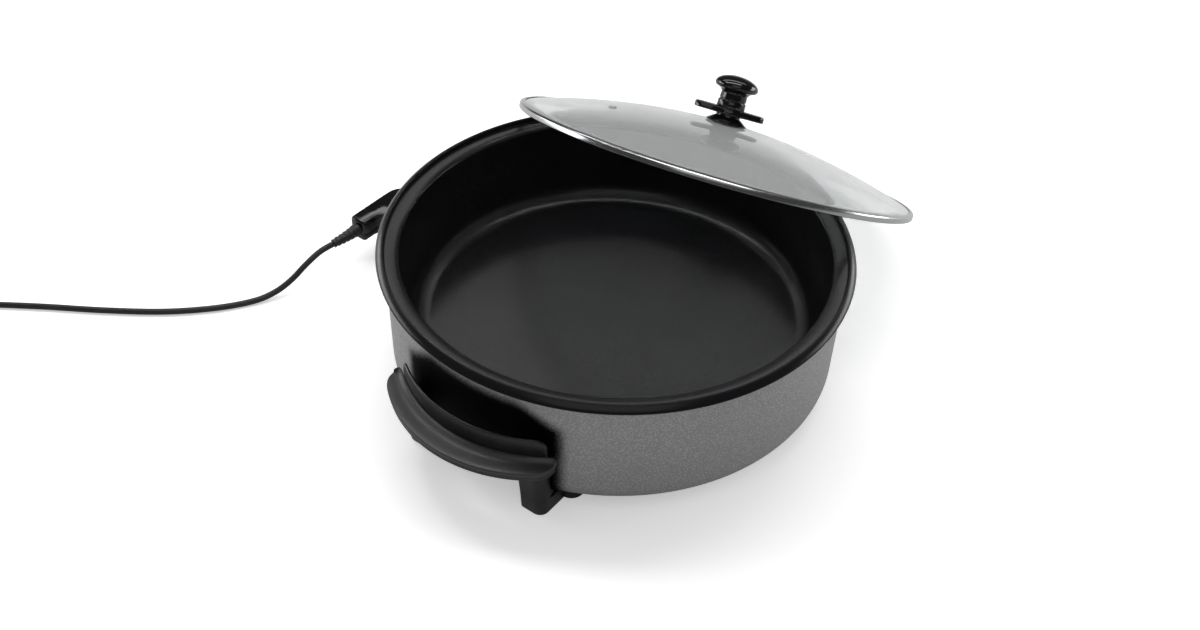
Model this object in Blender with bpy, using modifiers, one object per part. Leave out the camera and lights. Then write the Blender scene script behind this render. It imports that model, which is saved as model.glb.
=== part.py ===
"""Electric skillet with a drop-in glass lid and a plug-in heat control.

Units are metres, +Z is up. The origin is the centre of the cooking surface.
Heights named ..._Z are measured from the table that the legs stand on.
The two handles point along +X and -X and the heat control plugs in from +Y.
"""

import math

import bmesh
import bpy
import numpy as np
from mathutils import Matrix, Vector

# Fits
GAP = 0.0003
SLIP = 0.0005
OVERRUN = 0.003
WELD = 0.000001

# Facets in a full turn
PAN_STEPS = 60
LID_STEPS = 52
KNOB_STEPS = 28
SMALL_STEPS = 20

# Pan
COOK_Z = 0.0465
PAN_FLOOR = 0.0035
PAN_WALL = 0.0037
PAN_DRAFT = 0.0053
PAN_CORNER_R = 0.0180
RIM_R = 0.2100
RIM_WIDTH = 0.0207
RIM_OVERHANG = 0.0077
RIM_Z = 0.1300
RIM_RISE = 0.0055
RIM_SLOPE = 0.0055
CREST_WIDTH = 0.0013
LEDGE_DROP = 0.0050
LEDGE_GROOVE = 0.0005
EDGE_ROUND = 0.0044
LIP = 0.0016
POST_R = 0.0060

# Outer shell
SHELL_TAPER = 0.0020
SHELL_CORNER_R = 0.0180
SHELL_SHEET = 0.0012
SHELL_Z = 0.0155

# Heating element
ELEMENT_R = 0.1150
ELEMENT_TUBE_R = 0.0035
ELEMENT_BEND_R = 0.0140
TERMINAL_OFFSET = 0.0125
TERMINAL_R = 0.0023
TERMINAL_LENGTH = 0.0300

# Probe and its sleeve under the pan
PROBE_R = 0.0027
PROBE_LENGTH = 0.0660
PROBE_ROOT = 0.0060
SLEEVE_WALL = 0.0014
SLEEVE_LENGTH = 0.0690

# Socket
SOCKET_HALF_WIDTH = 0.0300
SOCKET_WALL = 0.0050
SOCKET_BACK = 0.0040
SOCKET_DEPTH = 0.0085

# Handles
GUARD_STANDOFF = 0.0182
GUARD_ARC_R = 0.1270
GUARD_THICK = 0.0030
GUARD_INSET = 0.0005
GUARD_TOP_Z = 0.0900
GUARD_CORNER_R = 0.0090
GRIP_REACH = 0.0205
GRIP_ARC_R = 0.1250
GRIP_SPAN = 0.1530
GRIP_END = 0.0095
GRIP_TOP_Z = 0.0700
GRIP_THICK = 0.0038
GRIP_SWEEP = 0.0030
SKIRT_INSET = 0.0025
SKIRT_SEAM = 0.0010
SKIRT_Z = 0.0600

# Legs
LEG_SETBACK = 0.0048
LEG_DEPTH = 0.0105
LEG_INSET = 0.0032
LEG_WIDTH = 0.0216
LEG_LEAN = 0.0092
LEG_FLARE = 0.0100
LEG_CORNER_R = 0.0030
LEG_CLEARANCE = 0.0010
ARM_HALF_WIDTH = 0.0070
ARM_LIFT = 0.0020
PAD_SETBACK = 0.0483
PAD_SHIFT = 0.0025
PAD_R = 0.0140
PAD_Z = 0.0040

# Lid
LID_R = 0.1990
BAND_SHEET = 0.0008
BAND_HEIGHT = 0.0058
BAND_LAP_WIDTH = 0.0035
GLASS = 0.0040
DOME_RISE = 0.0322
DOME_POWER = 1.9
LID_HEADING = math.radians(8.5)
LID_SIDE_OFFSET = 0.0060
SEAT_OFFSET = 0.0100
VENT_PLACE_R = 0.1163
VENT_ANGLE = math.radians(130.2)
VENT_R = 0.0043
VENT_BORE_R = 0.0022
VENT_LIP = 0.0007

# Lid knob
STUD_R = 0.0024
WASHER_R = 0.0050
WASHER = 0.0008
SCREW_HEAD_R = 0.0034
SCREW_HEAD = 0.0016
KNOB_TURN = math.radians(113.0)
SKIRT_DISC_R = 0.0205
SKIRT_DISC_EDGE = 0.0016
SKIRT_DISC_RISE = 0.0088
SKIRT_NECK_R = 0.0120
WING_HALF_LENGTH = 0.0350
WING_END_R = 0.0085
WING_HUB_R = 0.0150
WING_THICK = 0.0060
WING_ROUND = 0.0018
KNOB_NECK_R = 0.0140
KNOB_NECK_TOP_R = 0.0130
KNOB_NECK = 0.0155
KNOB_GROOVE = 0.0006
KNOB_CAP_R = 0.0215
KNOB_CAP_FLARE = 0.0065
KNOB_CAP_RISE = 0.0100
STUD_DEPTH = 0.0080

# Heat control
CONTROL_Z = 0.0270
CONTROL_TOP_Z = 0.0500
CONTROL_SEAM_Z = 0.0350
CONTROL_HALF_WIDTH = 0.0245
CONTROL_LENGTH = 0.0827
CONTROL_CORNER_R = 0.0200
CONTROL_ARM_X = 0.0480
CONTROL_ARM_WIDTH = 0.0180
CONTROL_FILLET_R = 0.0100
CONTROL_ROUND = 0.0028
CONTROL_NOSE_HALF_WIDTH = 0.0200
CONTROL_NOSE_HEIGHT = 0.0160
DIAL_STANDOFF = 0.0417
DIAL_R = 0.0160
DIAL_HEIGHT = 0.0060
DIAL_EDGE = 0.0012
DIAL_FLUTES = 18
DIAL_FLUTE_R = 0.0012
DIAL_BAR_HALF_LENGTH = 0.0130
DIAL_BAR_WIDTH = 0.0050
DIAL_BAR_RISE = 0.0035
DIAL_STUB_R = 0.0030
DIAL_STUB = 0.0045
LENS_STANDOFF = 0.0157
LENS_R = 0.0028
LENS_DEPTH = 0.0020

# Strain relief and cord
CORD_R = 0.0030
RELIEF_ROOT_R = 0.0066
RELIEF_TIP_R = 0.0044
RELIEF_LENGTH = 0.0300
RELIEF_RIBS = 5
RELIEF_GROOVE = 0.0011
CORD_STEP = 0.0135

# Coil of spare cord and mains plug
COIL_GAP = 0.0006
COIL_OUTER_R = 0.0400
COIL_TURNS = 2
COIL_SIDES = 24
PLUG_LENGTH = 0.0360
PLUG_HALF_WIDTH = 0.0135
PLUG_HALF_HEIGHT = 0.0092
PLUG_NECK_R = 0.0048
PLUG_NECK = 0.0120
PLUG_ROUND = 0.0025
PIN_LENGTH = 0.0170
PIN_OFFSET = 0.0064
PIN_HALF_HEIGHT = 0.0032
PIN_THICK = 0.0015
PIN_ROOT = 0.0040

# Heights and radii that follow from the sizes above
PAN_UNDER_Z = COOK_Z - PAN_FLOOR
CREST_Z = RIM_Z + RIM_RISE
CREST_R = RIM_R - RIM_SLOPE
STEP_R = CREST_R - CREST_WIDTH
LEDGE_Z = CREST_Z - LEDGE_DROP
PAN_R = RIM_R - RIM_WIDTH
SHELL_R = RIM_R - RIM_OVERHANG
LIP_UNDER_Z = RIM_Z - LIP
CORNER_Z = COOK_Z + PAN_CORNER_R
FLAT_R = PAN_R - PAN_DRAFT - PAN_CORNER_R
SHELL_TOP_Z = LIP_UNDER_Z - GAP
ELEMENT_Z = PAN_UNDER_Z - GAP - ELEMENT_TUBE_R
CONTROL_MID_Z = (CONTROL_Z + CONTROL_TOP_Z) / 2
SLEEVE_R = PROBE_R + SLIP + SLEEVE_WALL
PROBE_Z = PAN_UNDER_Z - GAP - SLEEVE_R
GLASS_R = LID_R - BAND_SHEET - GAP
GUARD_MID = SHELL_R + GUARD_STANDOFF
GUARD_CENTRE = GUARD_MID - GUARD_ARC_R
GRIP_CENTRE = GUARD_MID + GRIP_REACH - GRIP_ARC_R
GRIP_HALF = GRIP_SPAN / 2
GUARD_HALF = GRIP_HALF - GUARD_INSET
LEG_OUTER = GRIP_HALF - LEG_INSET
LEG_INNER = LEG_OUTER - LEG_WIDTH
PAD_T = LEG_INNER + LEG_WIDTH / 2 + PAD_SHIFT
LEG_FRONT = SHELL_R - LEG_SETBACK
LEG_BACK = LEG_FRONT - LEG_DEPTH
PAD_U = SHELL_R - PAD_SETBACK
CONTROL_END_Y = SHELL_R + CONTROL_LENGTH
DIAL_Y = SHELL_R + DIAL_STANDOFF
LENS_Y = SHELL_R + LENS_STANDOFF

for leftover in list(bpy.data.objects):
    bpy.data.objects.remove(leftover, do_unlink=True)

parts = bpy.data.collections.new("electric_skillet")
cutters = bpy.data.collections.new("cutters")
bpy.context.scene.collection.children.link(parts)
bpy.context.scene.collection.children.link(cutters)


def material(name, colour, roughness, metallic):
    """Principled material with a plain colour."""
    made = bpy.data.materials.new(name)
    made.use_nodes = True
    shader = made.node_tree.nodes["Principled BSDF"]
    shader.inputs["Base Color"].default_value = (*colour, 1.0)
    shader.inputs["Roughness"].default_value = roughness
    shader.inputs["Metallic"].default_value = metallic
    return made


COATING = material("nonstick_coating", (0.012, 0.012, 0.013), 0.35, 0.0)
PAINT = material("grey_hammer_paint", (0.19, 0.19, 0.19), 0.42, 0.3)
HANDLE_TOP = material("grey_handle_plastic", (0.050, 0.050, 0.053), 0.55, 0.0)
HANDLE_DARK = material("black_handle_plastic", (0.010, 0.010, 0.011), 0.45, 0.0)
GLOSS = material("gloss_black_plastic", (0.006, 0.006, 0.007), 0.12, 0.0)
CLEAR = material("tempered_glass", (0.80, 0.84, 0.84), 0.02, 0.0)
STEEL = material("polished_steel", (0.62, 0.62, 0.64), 0.18, 1.0)
DULL_STEEL = material("element_sheath", (0.30, 0.30, 0.31), 0.45, 1.0)
ALUMINIUM = material("cast_aluminium", (0.55, 0.55, 0.56), 0.45, 1.0)
CORD_BLACK = material("cord_sheath", (0.012, 0.012, 0.013), 0.50, 0.0)
AMBER = material("amber_lens", (0.75, 0.28, 0.03), 0.20, 0.0)


def empty(name, parent=None, matrix=None):
    """Empty that carries the pieces of one assembly."""
    made = bpy.data.objects.new(name, None)
    parts.objects.link(made)
    made.parent = parent
    made.matrix_local = matrix if matrix is not None else Matrix()
    return made


def place(name, data, look, parent, matrix=None, collection=None):
    """Object with its own material, set into its parent's frame."""
    made = bpy.data.objects.new(name, data)
    (collection or parts).objects.link(made)
    if look is not None:
        data.materials.append(look)
    made.parent = parent
    made.matrix_local = matrix if matrix is not None else Matrix()
    if collection is cutters:
        made.hide_render = True
        made.display_type = "WIRE"
    return made


def turned(name, outline, steps, look, parent, matrix=None, collection=None):
    """Outline of (radius, height) points turned about the local Z axis."""
    data = bpy.data.meshes.new(name)
    closed = outline[0][0] > 0
    count = len(outline)
    edges = [(i, i + 1) for i in range(count - 1)]
    if closed:
        edges.append((count - 1, 0))
    data.from_pydata([(r, 0, z) for r, z in outline], edges, [])
    made = place(name, data, look, parent, matrix, collection)
    screw = made.modifiers.new("Turn", "SCREW")
    screw.steps = steps
    screw.render_steps = steps
    screw.use_merge_vertices = True
    screw.merge_threshold = WELD
    screw.use_smooth_shade = True
    return made


def arc(centre_r, centre_z, radius, start, end, count):
    """Points of an arc in the (radius, height) plane, angles in degrees."""
    return [(centre_r + radius * math.cos(math.radians(a)),
             centre_z + radius * math.sin(math.radians(a)))
            for a in np.linspace(start, end, count)]


def from_bmesh(name, shape, look, parent, matrix=None, collection=None):
    """Object from a finished bmesh."""
    bmesh.ops.recalc_face_normals(shape, faces=shape.faces)
    data = bpy.data.meshes.new(name)
    shape.to_mesh(data)
    shape.free()
    return place(name, data, look, parent, matrix, collection)


def cylinder(name, radius, start, end, steps, look, parent, collection=None):
    """Cylinder between two points."""
    start, end = Vector(start), Vector(end)
    shape = bmesh.new()
    bmesh.ops.create_cone(shape, cap_ends=True, segments=steps, radius1=radius,
                          radius2=radius, depth=(end - start).length)
    turn = (end - start).to_track_quat("Z", "Y").to_matrix().to_4x4()
    matrix = Matrix.Translation((start + end) / 2) @ turn
    return from_bmesh(name, shape, look, parent, matrix, collection)


def box(name, low, high, look, parent, collection=None, rounding=0, segments=2):
    """Box between two corners, with rounded edges where asked."""
    low, high = Vector(low), Vector(high)
    shape = bmesh.new()
    bmesh.ops.create_cube(shape, size=1)
    bmesh.ops.scale(shape, vec=high - low, verts=shape.verts)
    if rounding:
        bmesh.ops.bevel(shape, geom=shape.edges[:], offset=rounding, segments=segments,
                        profile=0.5, affect="EDGES")
    return from_bmesh(name, shape, look, parent, Matrix.Translation((low + high) / 2),
                      collection)


def loft(name, rings, look, parent, matrix=None, collection=None):
    """Skin over rings of equal point counts, closed with a face at each end."""
    shape = bmesh.new()
    rows = [[shape.verts.new(point) for point in ring] for ring in rings]
    count = len(rings[0])
    for low, high in zip(rows, rows[1:]):
        for i in range(count):
            j = (i + 1) % count
            shape.faces.new((low[i], low[j], high[j], high[i]))
    shape.faces.new(rows[0])
    shape.faces.new(rows[-1])
    return from_bmesh(name, shape, look, parent, matrix, collection)


def mesh_of(made):
    """Evaluated mesh of an object, welded, in the object's own frame."""
    bpy.context.view_layer.update()
    graph = bpy.context.evaluated_depsgraph_get()
    data = bpy.data.meshes.new_from_object(made.evaluated_get(graph))
    shape = bmesh.new()
    shape.from_mesh(data)
    bmesh.ops.remove_doubles(shape, verts=shape.verts, dist=WELD)
    bmesh.ops.recalc_face_normals(shape, faces=shape.faces)
    shape.to_mesh(data)
    shape.free()
    return data


def settled(made):
    """The same object with its curve or modifiers turned into a plain mesh."""
    data = mesh_of(made)
    name = made.name
    parent = made.parent
    matrix = made.matrix_local.copy()
    group = made.users_collection[0]
    look = made.active_material
    bpy.data.objects.remove(made, do_unlink=True)
    data.name = name
    data.materials.clear()
    return place(name, data, look, parent, matrix, group)


def slab(name, outlines, low, high, look, parent, collection=None):
    """Flat outlines, the later ones holes, filled and raised from low to high."""
    flat = bpy.data.curves.new(name, "CURVE")
    flat.dimensions = "2D"
    flat.fill_mode = "BOTH"
    flat.extrude = (high - low) / 2
    for outline in outlines:
        spline = flat.splines.new("POLY")
        spline.points.add(len(outline) - 1)
        for point, (x, y) in zip(spline.points, outline):
            point.co = (x, y, 0, 1)
        spline.use_cyclic_u = True
    made = place(name, flat, look, parent,
                 Matrix.Translation((0, 0, (low + high) / 2)), collection)
    return settled(made)


def rounded_top(made, radius, segments, side=1):
    """Round the outer edges of a slab's top face, or its bottom with side -1."""
    shape = bmesh.new()
    shape.from_mesh(made.data)
    level = max(side * v.co.z for v in shape.verts)
    bmesh.ops.dissolve_faces(shape, faces=[f for f in shape.faces if side * f.normal.z > 0.9])
    rim = [e for e in shape.edges
           if all(side * v.co.z > level - WELD for v in e.verts)
           and any(abs(f.normal.z) < 0.5 for f in e.link_faces)]
    bmesh.ops.bevel(shape, geom=rim, offset=radius, segments=segments, profile=0.5,
                    affect="EDGES")
    bmesh.ops.recalc_face_normals(shape, faces=shape.faces)
    shape.to_mesh(made.data)
    shape.free()
    return made


def tube(name, points, radius, sides, look, parent, radii=None):
    """Round tube through points, with a radius for each point where given."""
    wire = bpy.data.curves.new(name, "CURVE")
    wire.dimensions = "3D"
    wire.fill_mode = "FULL"
    wire.bevel_depth = 1.0 if radii else radius
    wire.bevel_resolution = sides
    wire.use_fill_caps = True
    spline = wire.splines.new("POLY")
    spline.points.add(len(points) - 1)
    for index, point in enumerate(points):
        spline.points[index].co = (*point, 1)
        spline.points[index].radius = radii[index] if radii else 1.0
    return settled(place(name, wire, look, parent))


def combine(made, other, operation):
    """Exact Boolean with a cutter or a piece to be joined."""
    change = made.modifiers.new(operation.title(), "BOOLEAN")
    change.operation = operation
    change.object = other
    change.solver = "EXACT"
    return made


def smooth_route(points, step):
    """Evenly spaced points on a smooth curve through the route's own points."""
    nodes = [Vector(p) for p in points]
    nodes = [nodes[0] * 2 - nodes[1]] + nodes + [nodes[-1] * 2 - nodes[-2]]
    fine = []
    for a, b, c, d in zip(nodes, nodes[1:], nodes[2:], nodes[3:]):
        for s in np.linspace(0, 1, 40, endpoint=False):
            fine.append(0.5 * (2 * b + (c - a) * s + (2 * a - 5 * b + 4 * c - d) * s ** 2
                               + (3 * b - a - 3 * c + d) * s ** 3))
    fine.append(nodes[-2])
    along = [0]
    for a, b in zip(fine, fine[1:]):
        along.append(along[-1] + (b - a).length)
    count = max(2, round(along[-1] / step))
    spaced = []
    for target in np.linspace(0, along[-1], count + 1):
        k = min(int(np.searchsorted(along, target, side="right")), len(fine) - 1)
        share = (target - along[k - 1]) / max(along[k] - along[k - 1], WELD)
        spaced.append(fine[k - 1].lerp(fine[k], min(share, 1)))
    return spaced, along[-1]


def shell_radius(height):
    """Outer radius of the shell's straight wall at a height."""
    foot = SHELL_Z + SHELL_CORNER_R
    share = (height - foot) / (SHELL_TOP_Z - foot)
    return SHELL_R - SHELL_TAPER * (1 - share)


def dome(radius):
    """Height of the glass's upper face above the bottom of the lid's band."""
    return BAND_HEIGHT - BAND_SHEET + DOME_RISE * (1 - (radius / GLASS_R) ** DOME_POWER)


# Everything is built on the table's height and lowered to the cooking surface
skillet = empty("skillet", None, Matrix.Translation((0, 0, -COOK_Z)))

# Pan: rolled rim, lid ledge, drafted wall, rounded corner and flat floor
wall_out_r = PAN_R + PAN_WALL
rim_outline = [
    (STEP_R + CREST_WIDTH * 0.3, CREST_Z - CREST_WIDTH * 0.4),
    (CREST_R, CREST_Z),
    (CREST_R + RIM_SLOPE * 0.48, CREST_Z - RIM_RISE * 0.31),
    (CREST_R + RIM_SLOPE * 0.85, CREST_Z - RIM_RISE * 0.71),
    (RIM_R, RIM_Z),
    (RIM_R - LIP * 0.4, RIM_Z - LIP * 0.7),
    (RIM_R - LIP * 1.4, RIM_Z - LIP),
]
pan_outline = [(0, COOK_Z)]
pan_outline += arc(FLAT_R, CORNER_Z, PAN_CORNER_R, -90, 0, 5)
pan_outline += [
    (PAN_R, LEDGE_Z - EDGE_ROUND * 1.4),
    (PAN_R + EDGE_ROUND * 0.1, LEDGE_Z - EDGE_ROUND * 0.8),
    (PAN_R + EDGE_ROUND * 0.4, LEDGE_Z - EDGE_ROUND * 0.3),
    (PAN_R + EDGE_ROUND, LEDGE_Z),
    (STEP_R - LEDGE_GROOVE * 2, LEDGE_Z),
    (STEP_R - LEDGE_GROOVE, LEDGE_Z - LEDGE_GROOVE),
    (STEP_R, LEDGE_Z),
    (STEP_R, CREST_Z - CREST_WIDTH),
]
pan_outline += rim_outline
pan_outline += [
    (wall_out_r + LIP * 1.4, LIP_UNDER_Z),
    (wall_out_r + LIP * 0.4, LIP_UNDER_Z - LIP),
    (wall_out_r, LIP_UNDER_Z - LIP * 4),
]
pan_outline += arc(FLAT_R, CORNER_Z, PAN_CORNER_R + PAN_FLOOR, 0, -90, 4)
pan_outline.append((0, PAN_UNDER_Z))
pan = turned("pan_body", pan_outline, PAN_STEPS, COATING, skillet)

# Four posts cast under the floor, which the shell and the legs are screwed to
shell_floor_top = SHELL_Z + SHELL_SHEET
for index, (side_u, side_t) in enumerate(((1, 1), (1, -1), (-1, 1), (-1, -1))):
    x, y = side_u * PAD_U, side_t * PAD_T
    post = cylinder(f"post_{index}", POST_R, (x, y, shell_floor_top + GAP),
                    (x, y, COOK_Z - PAN_FLOOR * 0.4), SMALL_STEPS, None, skillet, cutters)
    combine(pan, post, "UNION")

# Outer shell: thin sheet bowl whose edge hides under the rim
foot_r = SHELL_R - SHELL_TAPER
corner_r = foot_r - SHELL_CORNER_R
corner_z = SHELL_Z + SHELL_CORNER_R
shell_outline = [(0, shell_floor_top)]
shell_outline += arc(corner_r, corner_z, SHELL_CORNER_R - SHELL_SHEET, -90, 0, 5)
shell_outline += [(SHELL_R - SHELL_SHEET, SHELL_TOP_Z), (SHELL_R, SHELL_TOP_Z)]
shell_outline += arc(corner_r, corner_z, SHELL_CORNER_R, 0, -90, 7)
shell_outline.append((0, SHELL_Z))
shell = turned("outer_shell", shell_outline, PAN_STEPS, PAINT, skillet)
nose_low = CONTROL_MID_Z - CONTROL_NOSE_HEIGHT / 2
nose_high = CONTROL_MID_Z + CONTROL_NOSE_HEIGHT / 2
window = box("shell_window",
             (-CONTROL_NOSE_HALF_WIDTH - SLIP, shell_radius(nose_low) - SHELL_CORNER_R, nose_low - SLIP),
             (CONTROL_NOSE_HALF_WIDTH + SLIP, SHELL_R + OVERRUN, nose_high + SLIP),
             None, skillet, cutters)
combine(shell, window, "DIFFERENCE")

# Heating element: one loop under the floor whose ends run out to the socket
socket_front_y = math.sqrt((shell_radius(CONTROL_MID_Z) - SHELL_SHEET) ** 2
                           - SOCKET_HALF_WIDTH ** 2) - GAP
recess_y = socket_front_y - SOCKET_DEPTH
socket_back_y = recess_y - SOCKET_BACK
element_end_y = socket_back_y - GAP
bend_x = TERMINAL_OFFSET + ELEMENT_BEND_R
bend_y = math.sqrt((ELEMENT_R + ELEMENT_BEND_R) ** 2 - bend_x ** 2)
turn_angle = math.atan2(bend_y, bend_x)
half_loop = []
for angle in np.linspace(math.radians(-90), turn_angle, 22):
    half_loop.append((ELEMENT_R * math.cos(angle), ELEMENT_R * math.sin(angle), ELEMENT_Z))
for angle in np.linspace(turn_angle + math.pi, math.pi, 6)[1:]:
    half_loop.append((bend_x + ELEMENT_BEND_R * math.cos(angle),
                      bend_y + ELEMENT_BEND_R * math.sin(angle), ELEMENT_Z))
half_loop.append((TERMINAL_OFFSET, (bend_y + element_end_y) / 2, ELEMENT_Z))
half_loop.append((TERMINAL_OFFSET, element_end_y, ELEMENT_Z))
other_half = [(-x, y, z) for x, y, z in reversed(half_loop[1:])]
tube("heating_element", other_half + half_loop, ELEMENT_TUBE_R, 1, DULL_STEEL, skillet)

# Terminals, which stand in the socket's recess
for name, x in (("terminal_a", TERMINAL_OFFSET), ("terminal_b", -TERMINAL_OFFSET)):
    cylinder(name, TERMINAL_R, (x, element_end_y + GAP, ELEMENT_Z),
             (x, element_end_y + TERMINAL_LENGTH, ELEMENT_Z), 12, STEEL, skillet)

# Sleeve under the floor that the control's probe slides into
sleeve_end_y = socket_back_y - GAP
sleeve_bore_r = PROBE_R + SLIP
sleeve_frame = (Matrix.Translation((0, sleeve_end_y, PROBE_Z))
                @ Matrix.Rotation(math.radians(90), 4, "X"))
turned("probe_sleeve",
       [(sleeve_bore_r, SLEEVE_LENGTH), (SLEEVE_R, SLEEVE_LENGTH), (SLEEVE_R, 0),
        (sleeve_bore_r, 0)],
       SMALL_STEPS, ALUMINIUM, skillet, sleeve_frame)

# Socket: block behind the shell's window with a recess, two pin holes and a probe hole
socket = box("socket_block",
             (-SOCKET_HALF_WIDTH, socket_back_y, nose_low - SLIP - SOCKET_WALL),
             (SOCKET_HALF_WIDTH, shell_radius(CONTROL_MID_Z), nose_high + SLIP + SOCKET_WALL),
             HANDLE_DARK, skillet)
curve_outline = [(SHELL_R * 2, CONTROL_TOP_Z * 2), (SHELL_R * 2, SHELL_Z)]
curve_outline += arc(corner_r, corner_z, SHELL_CORNER_R - SHELL_SHEET - GAP, -90, 0, 5)[1:]
curve_outline.append((shell_radius(CONTROL_TOP_Z * 2) - SHELL_SHEET - GAP, CONTROL_TOP_Z * 2))
curve_cut = turned("socket_curve", curve_outline, PAN_STEPS, None, skillet, None, cutters)
combine(socket, curve_cut, "DIFFERENCE")
recess = box("socket_recess", (-CONTROL_NOSE_HALF_WIDTH - SLIP, recess_y, nose_low - SLIP),
             (CONTROL_NOSE_HALF_WIDTH + SLIP, SHELL_R + OVERRUN, nose_high + SLIP),
             None, skillet, cutters)
combine(socket, recess, "DIFFERENCE")
for index, (x, z, radius) in enumerate(((TERMINAL_OFFSET, ELEMENT_Z, TERMINAL_R + GAP),
                                        (-TERMINAL_OFFSET, ELEMENT_Z, TERMINAL_R + GAP),
                                        (0, PROBE_Z, sleeve_bore_r))):
    hole = cylinder(f"socket_hole_{index}", radius, (x, socket_back_y - OVERRUN, z),
                    (x, recess_y + OVERRUN, z), SMALL_STEPS, None, skillet, cutters)
    combine(socket, hole, "DIFFERENCE")


# Handles
def guard_face(t):
    """Outer face of the heat guard at a distance t from the handle's middle."""
    return GUARD_CENTRE + math.sqrt(GUARD_ARC_R ** 2 - t ** 2)


def grip_edge(t, inset):
    """Outer edge of the grip, or of what is set back under it."""
    return GRIP_CENTRE + math.sqrt((GRIP_ARC_R - inset) ** 2 - t ** 2)


def crescent(section, inset):
    """Rings of a crescent bar. A section lists (share across, height)."""
    rings = []
    stations = [(t, 1) for t in np.linspace(-GRIP_HALF, GRIP_HALF, 15)]
    ends = [(math.sin(a), math.cos(a) ** 0.6) for a in np.radians((28, 52, 70, 82, 88))]
    reach = GRIP_END - inset
    before = [(-GRIP_HALF - reach * s, c) for s, c in reversed(ends)]
    after = [(GRIP_HALF + reach * s, c) for s, c in ends]
    for t, width in before + stations + after:
        held = max(-GRIP_HALF, min(GRIP_HALF, t))
        inner = guard_face(held) + GAP
        outer = grip_edge(held, inset)
        slope = -held / math.sqrt(GRIP_ARC_R ** 2 - held ** 2)
        middle = (inner + outer) / 2 + slope * (t - held)
        half = (outer - inner) / 2 * width
        rings.append([(middle + half * (2 * share - 1), t, height)
                      for share, height in section])
    return rings


grip_low_z = GRIP_TOP_Z - GRIP_THICK
grip_section = [
    (0, grip_low_z), (0, GRIP_TOP_Z + GRIP_SWEEP), (0.08, GRIP_TOP_Z + GRIP_SWEEP),
    (0.24, GRIP_TOP_Z + GRIP_SWEEP * 0.35), (0.45, GRIP_TOP_Z), (0.80, GRIP_TOP_Z),
    (0.94, GRIP_TOP_Z - GRIP_THICK * 0.08), (1.0, GRIP_TOP_Z - GRIP_THICK * 0.40),
    (0.99, grip_low_z),
]
skirt_section = [
    (0, SKIRT_Z), (0, grip_low_z - SKIRT_SEAM), (0.10, grip_low_z - GAP),
    (0.90, grip_low_z - GAP), (0.93, grip_low_z - SKIRT_SEAM),
    (1.0, grip_low_z - SKIRT_SEAM), (0.97, SKIRT_Z + SKIRT_SEAM), (0.90, SKIRT_Z),
]


def guard_rings():
    """Upright plate along the grip's inner edge, with rounded upper corners."""
    rings = []
    ends = GUARD_HALF - GUARD_CORNER_R
    corner = [ends + GUARD_CORNER_R * math.sin(a) for a in np.radians((30, 55, 75, 90))]
    places = [-t for t in reversed(corner)] + list(np.linspace(-ends, ends, 13)) + corner
    for t in places:
        past = max(0, abs(t) - ends)
        drop = GUARD_CORNER_R - math.sqrt(max(0, GUARD_CORNER_R ** 2 - past ** 2))
        top = GUARD_TOP_Z - drop
        out = guard_face(t)
        inner = out - GUARD_THICK
        rings.append([(inner, t, SKIRT_Z), (inner, t, top - GUARD_THICK / 3),
                      (inner + GUARD_THICK / 3, t, top), (out - GUARD_THICK / 3, t, top),
                      (out, t, top - GUARD_THICK / 3), (out, t, SKIRT_Z)])
    return rings


def rounded_rectangle(u_low, u_high, t_low, t_high, radius, height):
    """Ring of a leg's cross-section at a height."""
    ring = []
    for u, t, start in ((u_high, t_high, 0), (u_low, t_high, 90),
                        (u_low, t_low, 180), (u_high, t_low, 270)):
        centre_u = u - radius if u == u_high else u + radius
        centre_t = t - radius if t == t_high else t + radius
        for angle in np.radians((start, start + 45, start + 90)):
            ring.append((centre_u + radius * math.cos(angle),
                         centre_t + radius * math.sin(angle), height))
    return ring


def leg_back(height):
    """Inner face of a leg, kept clear of the shell's rounded corner and wall."""
    if height <= SHELL_Z:
        return LEG_BACK
    if height < corner_z:
        outer = corner_r + math.sqrt(SHELL_CORNER_R ** 2 - (corner_z - height) ** 2)
    else:
        outer = shell_radius(height)
    return max(LEG_BACK, math.sqrt((outer + LEG_CLEARANCE) ** 2 - LEG_INNER ** 2))


leg_top_z = SKIRT_Z - GAP
leg_rings = []
for share, flare in ((0, 0), (0.24, 0), (0.31, 0), (0.40, 0), (0.56, 0),
                     (0.74, 0.05), (0.86, 0.30), (0.94, 0.65), (1, 1)):
    height = leg_top_z * share
    leg_rings.append(rounded_rectangle(leg_back(height),
                                       LEG_FRONT + LEG_LEAN * share + LEG_FLARE * flare,
                                       LEG_INNER, LEG_OUTER, LEG_CORNER_R, height))


def leg(name, side, parent):
    """Leg under the handle with an arm to a round pad under the shell."""
    rings = [[(u, t * side, z) for u, t, z in ring] for ring in leg_rings]
    column = loft(name, rings, HANDLE_DARK, parent)
    mid_t = side * (LEG_INNER + LEG_WIDTH / 2)
    arm = box(name + "_arm", (PAD_U, mid_t - ARM_HALF_WIDTH, ARM_LIFT),
              (LEG_FRONT - LEG_CORNER_R, mid_t + ARM_HALF_WIDTH, SHELL_Z - GAP),
              None, parent, cutters)
    pad = cylinder(name + "_pad", PAD_R, (PAD_U, side * PAD_T, PAD_Z),
                   (PAD_U, side * PAD_T, SHELL_Z - GAP), 24, None, parent, cutters)
    combine(column, arm, "UNION")
    combine(column, pad, "UNION")
    return column


for label, turn in (("right", 0), ("left", math.pi)):
    side = empty(f"handle_{label}", skillet, Matrix.Rotation(turn, 4, "Z"))
    loft(f"grip_{label}", crescent(grip_section, 0), HANDLE_TOP, side)
    loft(f"grip_skirt_{label}", crescent(skirt_section, SKIRT_INSET), HANDLE_DARK, side)
    loft(f"heat_guard_{label}", guard_rings(), HANDLE_DARK, side)
    leg(f"leg_{label}_a", 1, side)
    leg(f"leg_{label}_b", -1, side)


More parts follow.
